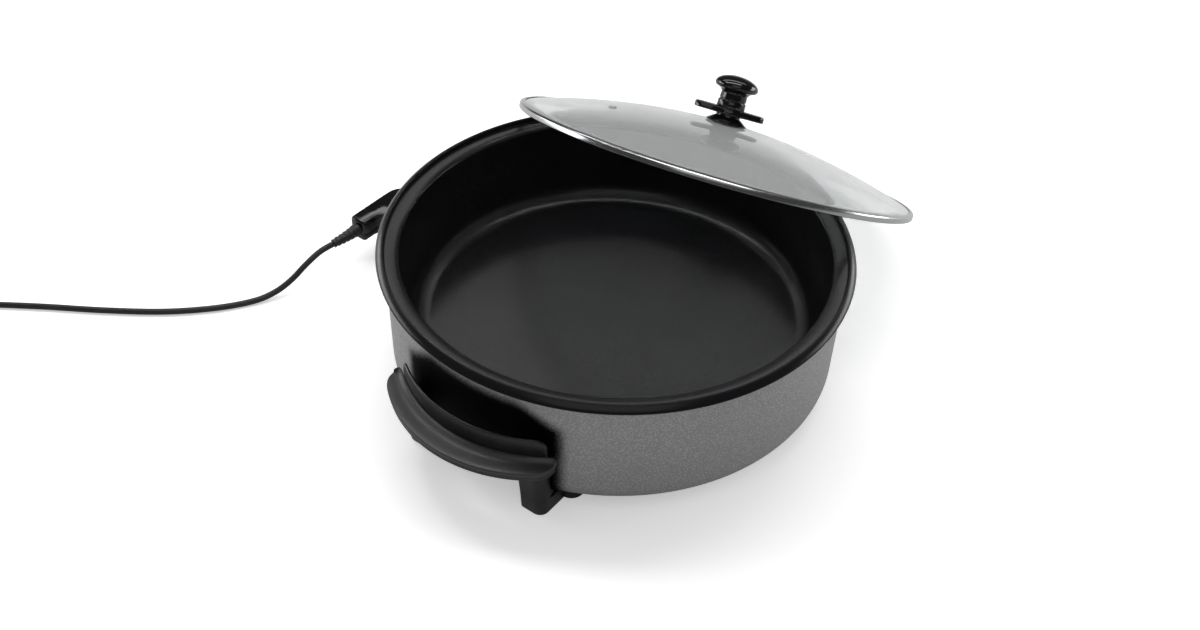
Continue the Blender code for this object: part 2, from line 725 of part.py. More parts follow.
# Lid: it stands on the table and leans on the pan's rim
def lid_axes(tilt):
    """Downhill, sideways and normal directions of the tilted lid."""
    ahead = Vector((math.cos(LID_HEADING), math.sin(LID_HEADING), 0))
    up = Vector((0, 0, 1))
    downhill = ahead * math.cos(tilt) - up * math.sin(tilt)
    normal = ahead * math.sin(tilt) + up * math.cos(tilt)
    return downhill, normal.cross(downhill), normal


def rim_clearance(tilt, centre):
    """Least distance along the lid's axis from the rim up to the glass."""
    downhill, sideways, normal = lid_axes(tilt)
    least = LID_R
    for angle in np.linspace(LID_HEADING - 0.5, LID_HEADING + 0.5, 101):
        for radius, height in rim_outline:
            point = Vector((radius * math.cos(angle), radius * math.sin(angle), height))
            offset = point - centre
            across = math.hypot(offset.dot(downhill), offset.dot(sideways))
            if across < GLASS_R - BAND_LAP_WIDTH:
                least = min(least, dome(across) - GLASS - offset.dot(normal))
    return least


def seat_lid():
    """Tilt and place at which the lid's edge and its glass both find their rests."""
    low, high = math.radians(10), math.radians(60)
    under = dome(SEAT_OFFSET) - GLASS
    for _ in range(60):
        tilt = (low + high) / 2
        support = max(r * math.sin(tilt) + z * math.cos(tilt) for r, z in rim_outline)
        spot = max(rim_outline, key=lambda p: p[0] * math.sin(tilt) + p[1] * math.cos(tilt))
        along = spot[0] * math.cos(tilt) - spot[1] * math.sin(tilt) + SEAT_OFFSET
        rise = support - (under - GAP)
        centre_z = rise * math.cos(tilt) - along * math.sin(tilt)
        if centre_z > GAP + LID_R * math.sin(tilt):
            low = tilt
        else:
            high = tilt
    centre_s = along * math.cos(tilt) + rise * math.sin(tilt)
    ahead = Vector((math.cos(LID_HEADING), math.sin(LID_HEADING), 0))
    aside = Vector((-math.sin(LID_HEADING), math.cos(LID_HEADING), 0))
    base = aside * -LID_SIDE_OFFSET + Vector((0, 0, GAP + LID_R * math.sin(tilt)))
    near, far = centre_s - LID_R * 0.1, centre_s + LID_R * 0.1
    for _ in range(50):
        middle = (near + far) / 2
        if rim_clearance(tilt, base + ahead * middle) > GAP:
            far = middle
        else:
            near = middle
    return tilt, base + ahead * far


lid_tilt, lid_centre = seat_lid()
lid_matrix = Matrix([(*column, 0) for column in lid_axes(lid_tilt)] + [(0, 0, 0, 1)])
lid_matrix.transpose()
lid_matrix.translation = lid_centre
lid = empty("lid", skillet, lid_matrix)

# Glass: domed, one thickness all over, with a hole for the stud and one for the vent
stud_hole_r = STUD_R + SLIP
radii = [stud_hole_r] + [GLASS_R * share for share in (0.12, 0.26, 0.40, 0.54, 0.67, 0.79, 0.90)]
radii.append(GLASS_R)
glass_outline = [(r, dome(r)) for r in radii]
glass_outline += [(r, dome(r) - GLASS) for r in reversed(radii)]
glass = turned("lid_glass", glass_outline, LID_STEPS, CLEAR, lid)
vent_slope = math.atan(DOME_RISE * DOME_POWER * VENT_PLACE_R ** (DOME_POWER - 1)
                       / GLASS_R ** DOME_POWER)
vent_frame = (Matrix.Rotation(VENT_ANGLE, 4, "Z")
              @ Matrix.Translation((VENT_PLACE_R, 0, dome(VENT_PLACE_R)))
              @ Matrix.Rotation(vent_slope, 4, "Y"))
vent_hole_r = VENT_R * 0.72
vent_ends = [vent_frame @ Vector((0, 0, z)) for z in (-GLASS - OVERRUN, OVERRUN)]
vent_cut = cylinder("vent_hole", vent_hole_r, vent_ends[0], vent_ends[1], SMALL_STEPS,
                    None, lid, cutters)
combine(glass, vent_cut, "DIFFERENCE")

# Steel band: channel round the glass's edge
lap_r = GLASS_R - BAND_LAP_WIDTH
inner_r = LID_R - BAND_SHEET
band_outline = [
    (lap_r, dome(lap_r) + GAP + BAND_SHEET),
    (GLASS_R, dome(GLASS_R) + GAP + BAND_SHEET),
    (LID_R, BAND_HEIGHT - BAND_SHEET),
    (LID_R, BAND_SHEET),
    (inner_r, 0),
    (lap_r, 0),
    (lap_r, BAND_SHEET * 0.6),
    (inner_r, dome(GLASS_R) - GLASS - GAP),
    (inner_r, dome(GLASS_R) + GAP),
    (lap_r, dome(lap_r) + GAP),
]
turned("lid_band", band_outline, LID_STEPS, STEEL, lid)

# Vent eyelet: flanged tube riveted through the glass
vent_barrel_r = vent_hole_r - GAP
vent_sag = GAP + VENT_LIP * 0.2
vent_outline = [
    (VENT_BORE_R, vent_sag + VENT_LIP), (VENT_R * 0.9, vent_sag + VENT_LIP),
    (VENT_R, vent_sag), (vent_barrel_r, vent_sag),
    (vent_barrel_r, -GLASS - vent_sag), (VENT_R, -GLASS - vent_sag),
    (VENT_R * 0.9, -GLASS - vent_sag - VENT_LIP), (VENT_BORE_R, -GLASS - vent_sag - VENT_LIP),
]
turned("vent_eyelet", vent_outline, SMALL_STEPS, STEEL, lid, vent_frame)

# Knob: skirt disc, winged plate and mushroom cap on one stud
apex_z = dome(0)
knob = empty("knob", lid, Matrix.Translation((0, 0, apex_z)) @ Matrix.Rotation(KNOB_TURN, 4, "Z"))
skirt_top = GAP + SKIRT_DISC_RISE
turned("knob_skirt", [
    (stud_hole_r, skirt_top),
    (SKIRT_NECK_R, skirt_top),
    (SKIRT_NECK_R, skirt_top - SKIRT_DISC_RISE * 0.25),
    (SKIRT_NECK_R + (SKIRT_DISC_R - SKIRT_NECK_R) * 0.30, skirt_top - SKIRT_DISC_RISE * 0.42),
    (SKIRT_DISC_R - SKIRT_DISC_EDGE, GAP + SKIRT_DISC_EDGE * 1.3),
    (SKIRT_DISC_R, GAP + SKIRT_DISC_EDGE * 0.6),
    (SKIRT_DISC_R - SKIRT_DISC_EDGE / 2, GAP),
    (stud_hole_r, GAP),
], KNOB_STEPS, GLOSS, knob)

wing_low = skirt_top + GAP
wing_high = wing_low + WING_THICK
wing_straight = WING_HALF_LENGTH - WING_END_R
quarter = []
for share in np.linspace(0, 1, 9):
    x = wing_straight * share
    swell = (WING_HUB_R - WING_END_R) * (0.5 + 0.5 * math.cos(math.pi * share)) ** 1.2
    quarter.append((x, WING_END_R + swell))
for angle in np.radians((60, 30, 0)):
    quarter.append((wing_straight + WING_END_R * math.cos(angle), WING_END_R * math.sin(angle)))
upper = quarter + [(x, -y) for x, y in reversed(quarter[:-1])]
wing_outline = upper + [(-x, -y) for x, y in upper[1:-1]]
wings = slab("knob_wings", [wing_outline], wing_low, wing_high, GLOSS, knob)
rounded_top(wings, WING_ROUND, 2)
stud_hole = cylinder("stud_hole", stud_hole_r, (0, 0, wing_low - OVERRUN),
                     (0, 0, wing_high + OVERRUN), 16, None, knob, cutters)
combine(wings, stud_hole, "DIFFERENCE")

cap_low = wing_high + GAP
neck_top = cap_low + KNOB_NECK
widest = neck_top + KNOB_CAP_FLARE
groove_z = cap_low + KNOB_NECK * 0.5
cap_outline = [(0, widest + KNOB_CAP_RISE)]
cap_outline += [(KNOB_CAP_R * math.sin(a), widest + KNOB_CAP_RISE * math.cos(a))
                for a in np.radians((18, 36, 54, 70, 82))]
cap_outline += [
    (KNOB_CAP_R, widest - KNOB_CAP_FLARE * 0.10),
    (KNOB_CAP_R - KNOB_CAP_FLARE * 0.25, widest - KNOB_CAP_FLARE * 0.45),
    (KNOB_NECK_TOP_R + KNOB_CAP_FLARE * 0.35, neck_top + KNOB_CAP_FLARE * 0.22),
    (KNOB_NECK_TOP_R, neck_top - KNOB_CAP_FLARE * 0.2),
    (KNOB_NECK_R - KNOB_GROOVE, groove_z + KNOB_GROOVE * 2),
    (KNOB_NECK_R - KNOB_GROOVE * 2, groove_z),
    (KNOB_NECK_R, groove_z - KNOB_GROOVE * 2),
    (KNOB_NECK_R, cap_low),
    (stud_hole_r, cap_low),
    (stud_hole_r, cap_low + STUD_DEPTH + GAP),
    (0, cap_low + STUD_DEPTH + GAP),
]
turned("knob_cap", cap_outline, KNOB_STEPS, GLOSS, knob)

# Screw and washer that clamp the knob from under the glass
washer_top = -GLASS - GAP
turned("knob_screw", [
    (0, cap_low + STUD_DEPTH),
    (STUD_R, cap_low + STUD_DEPTH),
    (STUD_R, washer_top),
    (WASHER_R, washer_top),
    (WASHER_R, washer_top - WASHER),
    (SCREW_HEAD_R, washer_top - WASHER),
    (SCREW_HEAD_R * 0.8, washer_top - WASHER - SCREW_HEAD),
    (0, washer_top - WASHER - SCREW_HEAD),
], SMALL_STEPS, STEEL, knob)

# Heat control: L-shaped housing in two halves that plugs in at the socket
control = empty("control", skillet)
wall_y = shell_radius(CONTROL_TOP_Z) + GAP
arm_in_y = CONTROL_END_Y - CONTROL_ARM_WIDTH
fillet_centre = (-CONTROL_HALF_WIDTH - CONTROL_FILLET_R, arm_in_y - CONTROL_FILLET_R)
corner_centre = (CONTROL_HALF_WIDTH - CONTROL_CORNER_R, CONTROL_END_Y - CONTROL_CORNER_R)
control_outline = [(CONTROL_HALF_WIDTH, wall_y)]
for angle in np.radians((0, 15, 30, 45, 60, 75, 90)):
    control_outline.append((corner_centre[0] + CONTROL_CORNER_R * math.cos(angle),
                            corner_centre[1] + CONTROL_CORNER_R * math.sin(angle)))
end_round = CONTROL_ROUND
for angle in np.radians((90, 135, 180)):
    control_outline.append((-CONTROL_ARM_X + end_round + end_round * math.cos(angle),
                            CONTROL_END_Y - end_round + end_round * math.sin(angle)))
for angle in np.radians((180, 225, 270)):
    control_outline.append((-CONTROL_ARM_X + end_round + end_round * math.cos(angle),
                            arm_in_y + end_round + end_round * math.sin(angle)))
for angle in np.radians((90, 67, 45, 22, 0)):
    control_outline.append((fillet_centre[0] + CONTROL_FILLET_R * math.cos(angle),
                            fillet_centre[1] + CONTROL_FILLET_R * math.sin(angle)))
control_outline.append((-CONTROL_HALF_WIDTH, wall_y))
upper_half = slab("control_upper", [control_outline], CONTROL_SEAM_Z + GAP / 2, CONTROL_TOP_Z,
                  GLOSS, control)
rounded_top(upper_half, CONTROL_ROUND, 3)
lower_half = slab("control_lower", [control_outline], CONTROL_Z, CONTROL_SEAM_Z - GAP / 2,
                  GLOSS, control)
rounded_top(lower_half, CONTROL_ROUND * 0.7, 2, -1)

# Nose that enters the socket, bored for the terminals and the probe
nose_front = recess_y + GAP
nose_seat_y = wall_y - GAP
nose = box("control_nose", (-CONTROL_NOSE_HALF_WIDTH, nose_front, nose_low),
           (CONTROL_NOSE_HALF_WIDTH, nose_seat_y, nose_high), HANDLE_DARK, control)
bore_end = element_end_y + TERMINAL_LENGTH + SLIP
for index, x in enumerate((TERMINAL_OFFSET, -TERMINAL_OFFSET)):
    bore = cylinder(f"terminal_bore_{index}", TERMINAL_R + SLIP,
                    (x, nose_front - OVERRUN, ELEMENT_Z), (x, bore_end, ELEMENT_Z),
                    SMALL_STEPS, None, control, cutters)
    combine(nose, bore, "DIFFERENCE")
    combine(upper_half, bore, "DIFFERENCE")
probe_bore = cylinder("probe_bore", PROBE_R + GAP,
                      (0, nose_front - OVERRUN, PROBE_Z),
                      (0, nose_front + PROBE_ROOT + GAP, PROBE_Z), SMALL_STEPS,
                      None, control, cutters)
combine(nose, probe_bore, "DIFFERENCE")
cylinder("probe_rod", PROBE_R, (0, nose_front + PROBE_ROOT, PROBE_Z),
         (0, nose_front + PROBE_ROOT - PROBE_LENGTH, PROBE_Z), 16, STEEL, control)

# Indicator lens let into the top of the control
lens_hole = cylinder("lens_hole", LENS_R + GAP, (0, LENS_Y, CONTROL_TOP_Z - LENS_DEPTH - GAP),
                     (0, LENS_Y, CONTROL_TOP_Z + OVERRUN), SMALL_STEPS, None, control, cutters)
combine(upper_half, lens_hole, "DIFFERENCE")
cylinder("indicator_lens", LENS_R, (0, LENS_Y, CONTROL_TOP_Z - LENS_DEPTH),
         (0, LENS_Y, CONTROL_TOP_Z), 16, AMBER, control)

# Temperature dial: fluted disc with a finger bar, on a stub in the housing
dial_hole = cylinder("dial_hole", DIAL_STUB_R + GAP,
                     (0, DIAL_Y, CONTROL_TOP_Z - DIAL_STUB - GAP),
                     (0, DIAL_Y, CONTROL_TOP_Z + OVERRUN), SMALL_STEPS, None, control, cutters)
combine(upper_half, dial_hole, "DIFFERENCE")
dial_empty = empty("dial_axis", control, Matrix.Translation((0, DIAL_Y, CONTROL_TOP_Z)))
flute_points = DIAL_FLUTES * 4
dial_outline = []
for index in range(flute_points):
    angle = 2 * math.pi * index / flute_points
    cut = DIAL_FLUTE_R * (0.5 - 0.5 * math.cos(DIAL_FLUTES * angle)) / 2
    dial_outline.append(((DIAL_R - cut) * math.cos(angle), (DIAL_R - cut) * math.sin(angle)))
dial = slab("control_dial", [dial_outline], GAP, GAP + DIAL_HEIGHT, GLOSS, dial_empty)
rounded_top(dial, DIAL_EDGE, 1)
finger_bar = box("dial_bar", (-DIAL_BAR_HALF_LENGTH, -DIAL_BAR_WIDTH / 2, DIAL_HEIGHT / 2),
                 (DIAL_BAR_HALF_LENGTH, DIAL_BAR_WIDTH / 2, GAP + DIAL_HEIGHT + DIAL_BAR_RISE),
                 None, dial_empty, cutters, DIAL_BAR_WIDTH / 4, 2)
combine(dial, finger_bar, "UNION")
stub = cylinder("dial_stub", DIAL_STUB_R, (0, 0, -DIAL_STUB), (0, 0, DIAL_HEIGHT / 2), 16,
                None, dial_empty, cutters)
combine(dial, stub, "UNION")

# Cord route from the control's arm down to the table and away to the far left
arm_mid_y = CONTROL_END_Y - CONTROL_ARM_WIDTH / 2
exit_x = -CONTROL_ARM_X - GAP
cord_rest_z = CORD_R + GAP
relief_route = [
    (exit_x, arm_mid_y, CONTROL_MID_Z),
    (exit_x - RELIEF_LENGTH * 0.15, arm_mid_y, CONTROL_MID_Z),
    (exit_x - RELIEF_LENGTH * 0.30, arm_mid_y, CONTROL_MID_Z),
    (exit_x - RELIEF_LENGTH * 0.60, arm_mid_y + RELIEF_LENGTH * 0.027,
     CONTROL_MID_Z - RELIEF_LENGTH * 0.010),
    (exit_x - RELIEF_LENGTH, arm_mid_y + RELIEF_LENGTH * 0.113,
     CONTROL_MID_Z - RELIEF_LENGTH * 0.053),
]
cord_route = [(exit_x + x, arm_mid_y + y, z) for x, y, z in (
    (-0.0433, 0.0085, 0.0328),
    (-0.0593, 0.0122, 0.0250),
    (-0.0747, 0.0162, 0.0148),
    (-0.0917, 0.0225, 0.0066),
    (-0.1117, 0.0320, cord_rest_z),
    (-0.1417, 0.0530, cord_rest_z),
    (-0.1747, 0.0860, cord_rest_z),
    (-0.2077, 0.1300, cord_rest_z),
    (-0.2397, 0.1780, cord_rest_z),
    (-0.2737, 0.2260, cord_rest_z),
    (-0.3017, 0.2650, cord_rest_z))]
full_route, _ = smooth_route(relief_route + cord_route, CORD_R)
relief_points = [p for p in full_route if p.x > exit_x - RELIEF_LENGTH - WELD]

# Strain relief: tapered sleeve with ribs, bent with the cord
relief_line, relief_span = smooth_route(relief_points, RELIEF_LENGTH / (RELIEF_RIBS * 4))
relief_radii = []
for index in range(len(relief_line)):
    share = index / (len(relief_line) - 1)
    radius = RELIEF_ROOT_R + (RELIEF_TIP_R - RELIEF_ROOT_R) * share
    groove = index % 4 == 3 and share < 0.97
    relief_radii.append(radius - RELIEF_GROOVE if groove else radius)
tube("strain_relief", relief_line, 0, 3, HANDLE_DARK, control, relief_radii)

# Free stretch of cord
heading = (relief_line[-1] - relief_line[-2]).normalized()
start = relief_line[-1] + heading * (GAP + CORD_R * 0.12)
free_points, cord_length = smooth_route([start] + cord_route, CORD_STEP)
tube("cord", free_points, CORD_R, 2, CORD_BLACK, control)

# Coil of spare cord: lower layer winds in, upper layer winds out
pitch = 2 * CORD_R + COIL_GAP
layer_rise = 2 * CORD_R + COIL_GAP
approach = (free_points[-1] - free_points[-2]).normalized()
approach.z = 0
approach.normalize()
coil_start = free_points[-1] + approach * GAP
straight = 2 * CORD_R
inward = Vector((-approach.y, approach.x, 0))
coil_centre = coil_start + approach * straight + inward * COIL_OUTER_R


def coil_point(angle, radius, height):
    """Point of the winding at an angle from where the cord joins it."""
    out = -inward * math.cos(angle) + approach * math.sin(angle)
    point = coil_centre + out * radius
    return Vector((point.x, point.y, cord_rest_z + height))


inner_turn_r = COIL_OUTER_R - pitch * COIL_TURNS
winding = [coil_start]
half_steps = COIL_SIDES // 2
for index in range(COIL_SIDES * COIL_TURNS + 1):
    turns = index / COIL_SIDES
    winding.append(coil_point(2 * math.pi * turns, COIL_OUTER_R - pitch * turns, 0))
for index in range(1, half_steps):
    turns = COIL_TURNS + index / COIL_SIDES
    share = index / half_steps
    rise = layer_rise * 0.5 * (1 - math.cos(math.pi * share))
    deeper = pitch * min(index, half_steps - index) / COIL_SIDES
    winding.append(coil_point(2 * math.pi * turns, inner_turn_r - deeper, rise))
upper_steps = COIL_SIDES * COIL_TURNS - COIL_SIDES // 4
for index in range(upper_steps + 1):
    turns = COIL_TURNS + 0.5 + index / COIL_SIDES
    winding.append(coil_point(2 * math.pi * turns,
                              inner_turn_r + pitch * index / COIL_SIDES, layer_rise))
last_turn = 2 * math.pi * turns
leave = (approach * math.cos(last_turn) + inward * math.sin(last_turn)).normalized()
coil_end = winding[-1] + leave * straight
winding.append(coil_end)
tube("cord_coil", winding, CORD_R, 1, CORD_BLACK, control)

# Tail of cord from the coil down to the mains plug
tail_start = coil_end + leave * GAP
outward = Vector((leave.y, -leave.x, 0))
if outward.dot(approach) < 0:
    outward = -outward
tail_route = [tail_start, tail_start + leave * COIL_OUTER_R * 0.12]
for along, aside, drop in ((0.45, 0.02, 0.15), (0.85, 0.08, 0.7), (1.2, 0.16, 1)):
    tail_route.append(tail_start + (leave * along + outward * aside) * COIL_OUTER_R
                      - Vector((0, 0, (layer_rise + cord_rest_z - PLUG_HALF_HEIGHT - GAP) * drop)))
tail_points, tail_length = smooth_route(tail_route, CORD_STEP * 0.7)
tube("cord_tail", tail_points, CORD_R, 2, CORD_BLACK, control)

# Mains plug lying beside the coil
leave = tail_points[-1] - tail_points[-2]
leave.z = 0
leave.normalize()
plug_frame = Matrix([(*leave, 0), (*Vector((-leave.y, leave.x, 0)), 0), (0, 0, 1, 0),
                     (0, 0, 0, 1)])
plug_frame.transpose()
plug_frame.translation = tail_points[-1] + leave * (GAP + CORD_R * 0.15)
mains = empty("mains", control, plug_frame)
neck_end = PLUG_NECK
body_end = PLUG_NECK + PLUG_LENGTH
plug_rings = []
for along, width, height, bulge in (
        (0, PLUG_NECK_R, PLUG_NECK_R, 1.0),
        (neck_end * 0.5, PLUG_NECK_R * 1.08, PLUG_NECK_R * 1.05, 1.0),
        (neck_end, PLUG_NECK_R * 1.35, PLUG_NECK_R * 1.25, 0.9),
        (neck_end + PLUG_LENGTH * 0.22, PLUG_HALF_WIDTH * 0.86, PLUG_HALF_HEIGHT * 0.92, 0.7),
        (neck_end + PLUG_LENGTH * 0.45, PLUG_HALF_WIDTH, PLUG_HALF_HEIGHT, 0.6),
        (body_end - PLUG_ROUND, PLUG_HALF_WIDTH * 0.96, PLUG_HALF_HEIGHT, 0.6),
        (body_end, PLUG_HALF_WIDTH * 0.96 - PLUG_ROUND, PLUG_HALF_HEIGHT - PLUG_ROUND, 0.6)):
    ring = []
    for angle in np.linspace(0, 2 * math.pi, 16, endpoint=False):
        c, s = math.cos(angle), math.sin(angle)
        ring.append((along, width * math.copysign(abs(c) ** bulge, c),
                     height * math.copysign(abs(s) ** bulge, s)))
    plug_rings.append(ring)
plug = loft("mains_plug", plug_rings, HANDLE_DARK, mains)
for name, y in (("mains_pin_a", PIN_OFFSET), ("mains_pin_b", -PIN_OFFSET)):
    slot = box(name + "_slot", (body_end - PIN_ROOT - GAP, y - PIN_THICK / 2 - GAP,
                                -PIN_HALF_HEIGHT - GAP),
               (body_end + OVERRUN, y + PIN_THICK / 2 + GAP, PIN_HALF_HEIGHT + GAP),
               None, mains, cutters)
    combine(plug, slot, "DIFFERENCE")
    box(name, (body_end - PIN_ROOT, y - PIN_THICK / 2, -PIN_HALF_HEIGHT),
        (body_end + PIN_LENGTH, y + PIN_THICK / 2, PIN_HALF_HEIGHT), STEEL, mains)

# Cut and joined pieces become plain meshes with soft shading between small facets
for made in [o for o in parts.objects if o.type == "MESH"]:
    if made.modifiers:
        made.data = mesh_of(made)
        made.modifiers.clear()
    made.data.shade_smooth()
    made.data.set_sharp_from_angle(angle=math.radians(32))

# Least distance between one turn of the coil and another, from points along it
fine = [a.lerp(b, s / 4) for a, b in zip(winding, winding[1:]) for s in range(4)]
fine_at = np.array(fine)
walked = np.concatenate([[0], np.cumsum(np.linalg.norm(np.diff(fine_at, axis=0), axis=1))])
apart = np.linalg.norm(fine_at[:, None] - fine_at[None], axis=2)
apart[np.abs(walked[:, None] - walked[None]) < 6 * CORD_R] = COIL_OUTER_R
print(f"coil gap to itself {(apart.min() - 2 * CORD_R) * 1000:.2f} mm")
print(f"cord length {cord_length + walked[-1] + tail_length:.3f} m,"
      f" coil {walked[-1]:.3f} m")
print(f"lid tilt {math.degrees(lid_tilt):.2f} deg, centre",
      " ".join(f"{c:.4f}" for c in lid_centre))
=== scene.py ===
"""Visible pieces, finishes, light and camera of an electric skillet.

Units are metres and +Z is up. The origin is the centre of the cooking surface.
Outlines are given as radius and height above the table that the legs stand on.
"""

import math

import bmesh
import bpy
import numpy as np
from mathutils import Matrix, Vector


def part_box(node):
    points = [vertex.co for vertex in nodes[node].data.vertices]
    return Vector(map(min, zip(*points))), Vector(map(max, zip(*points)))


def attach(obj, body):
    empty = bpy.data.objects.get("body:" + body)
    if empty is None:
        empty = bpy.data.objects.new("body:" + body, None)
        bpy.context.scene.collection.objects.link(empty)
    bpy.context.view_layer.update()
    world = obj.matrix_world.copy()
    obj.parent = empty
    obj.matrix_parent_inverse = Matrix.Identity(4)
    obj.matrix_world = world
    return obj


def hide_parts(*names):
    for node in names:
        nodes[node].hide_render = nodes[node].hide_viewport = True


bl_info = {
    "name": "Electric Skillet",
    "version": (1, 0, 0),
    "blender": (4, 5, 0),
    "location": "3D View > Sidebar > Skillet",
    "description": "Dresses the skillet's frame with its finished pieces, stage and camera",
    "category": "Add Mesh",
}

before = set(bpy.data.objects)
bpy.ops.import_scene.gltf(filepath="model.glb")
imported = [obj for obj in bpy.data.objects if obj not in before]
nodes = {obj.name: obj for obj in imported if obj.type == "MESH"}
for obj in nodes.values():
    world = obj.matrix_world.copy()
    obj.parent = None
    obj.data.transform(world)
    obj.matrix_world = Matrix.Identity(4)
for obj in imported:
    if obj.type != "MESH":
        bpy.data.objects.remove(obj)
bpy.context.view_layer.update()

TABLE_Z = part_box("leg_right_a")[0].z
ON_TABLE = Matrix.Translation((0, 0, TABLE_Z))
GAP = 0.0003
WELD = 0.000001
CREASE = 38

# Heights and radii of the pan and its shell
COOK_Z = 0.0465
PAN_R = 0.1893
FLAT_R = 0.1660
CORNER_R = 0.0180
CREST_R = 0.2045
CREST_Z = 0.1355
RIM_R = 0.2100
RIM_Z = 0.1300
STEP_R = 0.2032
LEDGE_Z = 0.1305
LIP_Z = 0.1284
SHELL_R = 0.2023
SHELL_FOOT_R = 0.2003
SHELL_Z = 0.0155
SHEET = 0.0012

# Lid, in its own leaning frame
LID_R = 0.1990
GLASS_R = 0.1979
GLASS = 0.0040
BAND_TOP = 0.0050
DOME_RISE = 0.0322
DOME_POWER = 1.9
VENT_R = 0.1163
VENT_TURN = math.radians(130.2)
KNOB_TURN = math.radians(113.0)
SEAM_TURN = math.radians(-46.0)

# Handles and legs: distances outwards from the middle, along the handle, and up
GUARD_MID = 0.2205
GUARD_ARC_R = 0.1270
GUARD_THICK = 0.0030
GUARD_TOP = 0.0900
GUARD_CORNER_R = 0.0090
GRIP_REACH = 0.0205
GRIP_ARC_R = 0.1250
GRIP_HALF = 0.0765
GRIP_END = 0.0095
GRIP_TOP = 0.0700
SKIRT_Z = 0.0600
LEG_INNER = 0.0517
LEG_OUTER = 0.0750
PAD_U = 0.1560
PAD_ALONG = 0.0735

# Cord and coil
CORD_R = 0.0030
RELIEF_LENGTH = 0.0300
CONTROL_MID_Z = 0.0385
ARM_Y = 0.2760
EXIT_X = -0.0483
COIL_R = 0.0400
COIL_TURNS = 2
COIL_SIDES = 24
RELIEF_R = 0.0066
RELIEF_RIBS = 6

# Lid's holes, the pan's studs and the shell's window
KNOB_HOLE_R = 0.0029
VENT_HOLE_R = 0.0031
STUD_X, STUD_Y, STUD_Z = 0.154, 0.065, 0.0309
STUD_R = 0.006
STUD_LENGTH = 0.0275
WINDOW = (0.0410, 0.0400, 0.0170)
WINDOW_Y = 0.2050

# Stage: where the floor starts and ends its change to white, and the photograph's frame
FLOOR_HALF = 12
FLOOR_NEAR = 0.35
FLOOR_FAR = 1.30
PHOTO_WIDTH = 1200
SHIFT_RIGHT = -16.84
SHIFT_UP = -71.23


# Numbers and finishes

class Amount:
    """A number that varies over a surface, as a node's socket with arithmetic."""

    def __init__(self, shading, socket):
        self.shading = shading
        self.socket = socket

    def worked(self, operation, *numbers):
        return self.shading.node("ShaderNodeMath", {"operation": operation}, numbers)

    def __add__(self, other):
        return self.worked("ADD", self, other)

    def __sub__(self, other):
        return self.worked("SUBTRACT", self, other)

    def __mul__(self, other):
        return self.worked("MULTIPLY", self, other)

    def __rsub__(self, other):
        return self.worked("SUBTRACT", other, self)

    def __abs__(self):
        return self.worked("ABSOLUTE", self)

    __radd__ = __add__
    __rmul__ = __mul__


class Shading:
    """A node tree around one shader, written as expressions."""

    def __init__(self, owner, shader):
        owner.use_nodes = True
        self.tree = owner.node_tree
        self.shader = self.tree.nodes[shader]

    def fill(self, socket, value):
        """Sets a socket to a value or links it to a varying amount."""
        if isinstance(value, Amount):
            self.tree.links.new(value.socket, socket)
        else:
            socket.default_value = value

    def node(self, kind, settings, values, output=0):
        """One node: its settings first, then the values or links of its sockets."""
        made = self.tree.nodes.new(kind)
        for name, value in settings.items():
            setattr(made, name, value)
        for key, value in values.items() if isinstance(values, dict) else enumerate(values):
            self.fill(made.inputs[key], value)
        return Amount(self, made.outputs[output])

    def give(self, socket, value):
        """Sets one of the shader's sockets to a value or a varying amount."""
        self.fill(self.shader.inputs[socket], value)

    def ray(self, kind):
        """1 for rays of a kind, such as Camera, and 0 for others."""
        return self.node("ShaderNodeLightPath", {}, (), f"Is {kind} Ray")


class Finish(Shading):
    """A surface finish."""

    def __init__(self, name, colour, roughness, metallic=0.0):
        self.material = bpy.data.materials.new(name)
        super().__init__(self.material, "Principled BSDF")
        self.give("Base Color", (*colour, 1.0))
        self.give("Roughness", roughness)
        self.give("Metallic", metallic)
        self.place = self.node("ShaderNodeTexCoord", {}, (), "Object")

    def cover(self, shader, share):
        """Lays another shader over the finish by a varying share."""
        under = Amount(self, self.shader.outputs["BSDF"])
        both = self.node("ShaderNodeMixShader", {}, (share, under, shader))
        self.fill(self.tree.nodes["Material Output"].inputs["Surface"], both)

    def grain(self, size, detail=2.0, roughness=0.5, place=None):
        """Cloudy pattern of a size in metres, from 0 to 1."""
        return self.node("ShaderNodeTexNoise", {}, {
            "Vector": place or self.place, "Scale": 1 / size, "Detail": detail,
            "Roughness": roughness})

    def cells(self, size):
        """Cells of a size in metres: the distance from each one's middle."""
        return self.node("ShaderNodeTexVoronoi", {}, {
            "Vector": self.place, "Scale": 1 / size}, "Distance")

    def ease(self, value, low, high, start=0.0, end=1.0):
        """Smooth change from start to end while the value goes from low to high."""
        return self.node("ShaderNodeMapRange", {"interpolation_type": "SMOOTHSTEP"},
                         (value, low, high, start, end))

    def axis(self, letter):
        """One coordinate on the object."""
        return self.node("ShaderNodeSeparateXYZ", {}, (self.place,), letter)

    def tint(self, share, first, second):
        """Colour between two others."""
        return self.node("ShaderNodeMix", {"data_type": "RGBA"},
                         {0: share, 6: colour_of(first), 7: colour_of(second)}, 2)

    def relief(self, height, depth, strength):
        """Bump from a height pattern of a depth in metres."""
        return self.node("ShaderNodeBump", {}, {
            "Strength": strength, "Distance": depth, "Height": height})


def colour_of(value):
    """A colour for a socket, from three numbers or another colour."""
    return value if isinstance(value, Amount) else (*value[:3], 1.0)


def scaled(colour, share):
    """A colour lighter or darker by a share."""
    return tuple(min(1.0, c * share) for c in colour[:3])


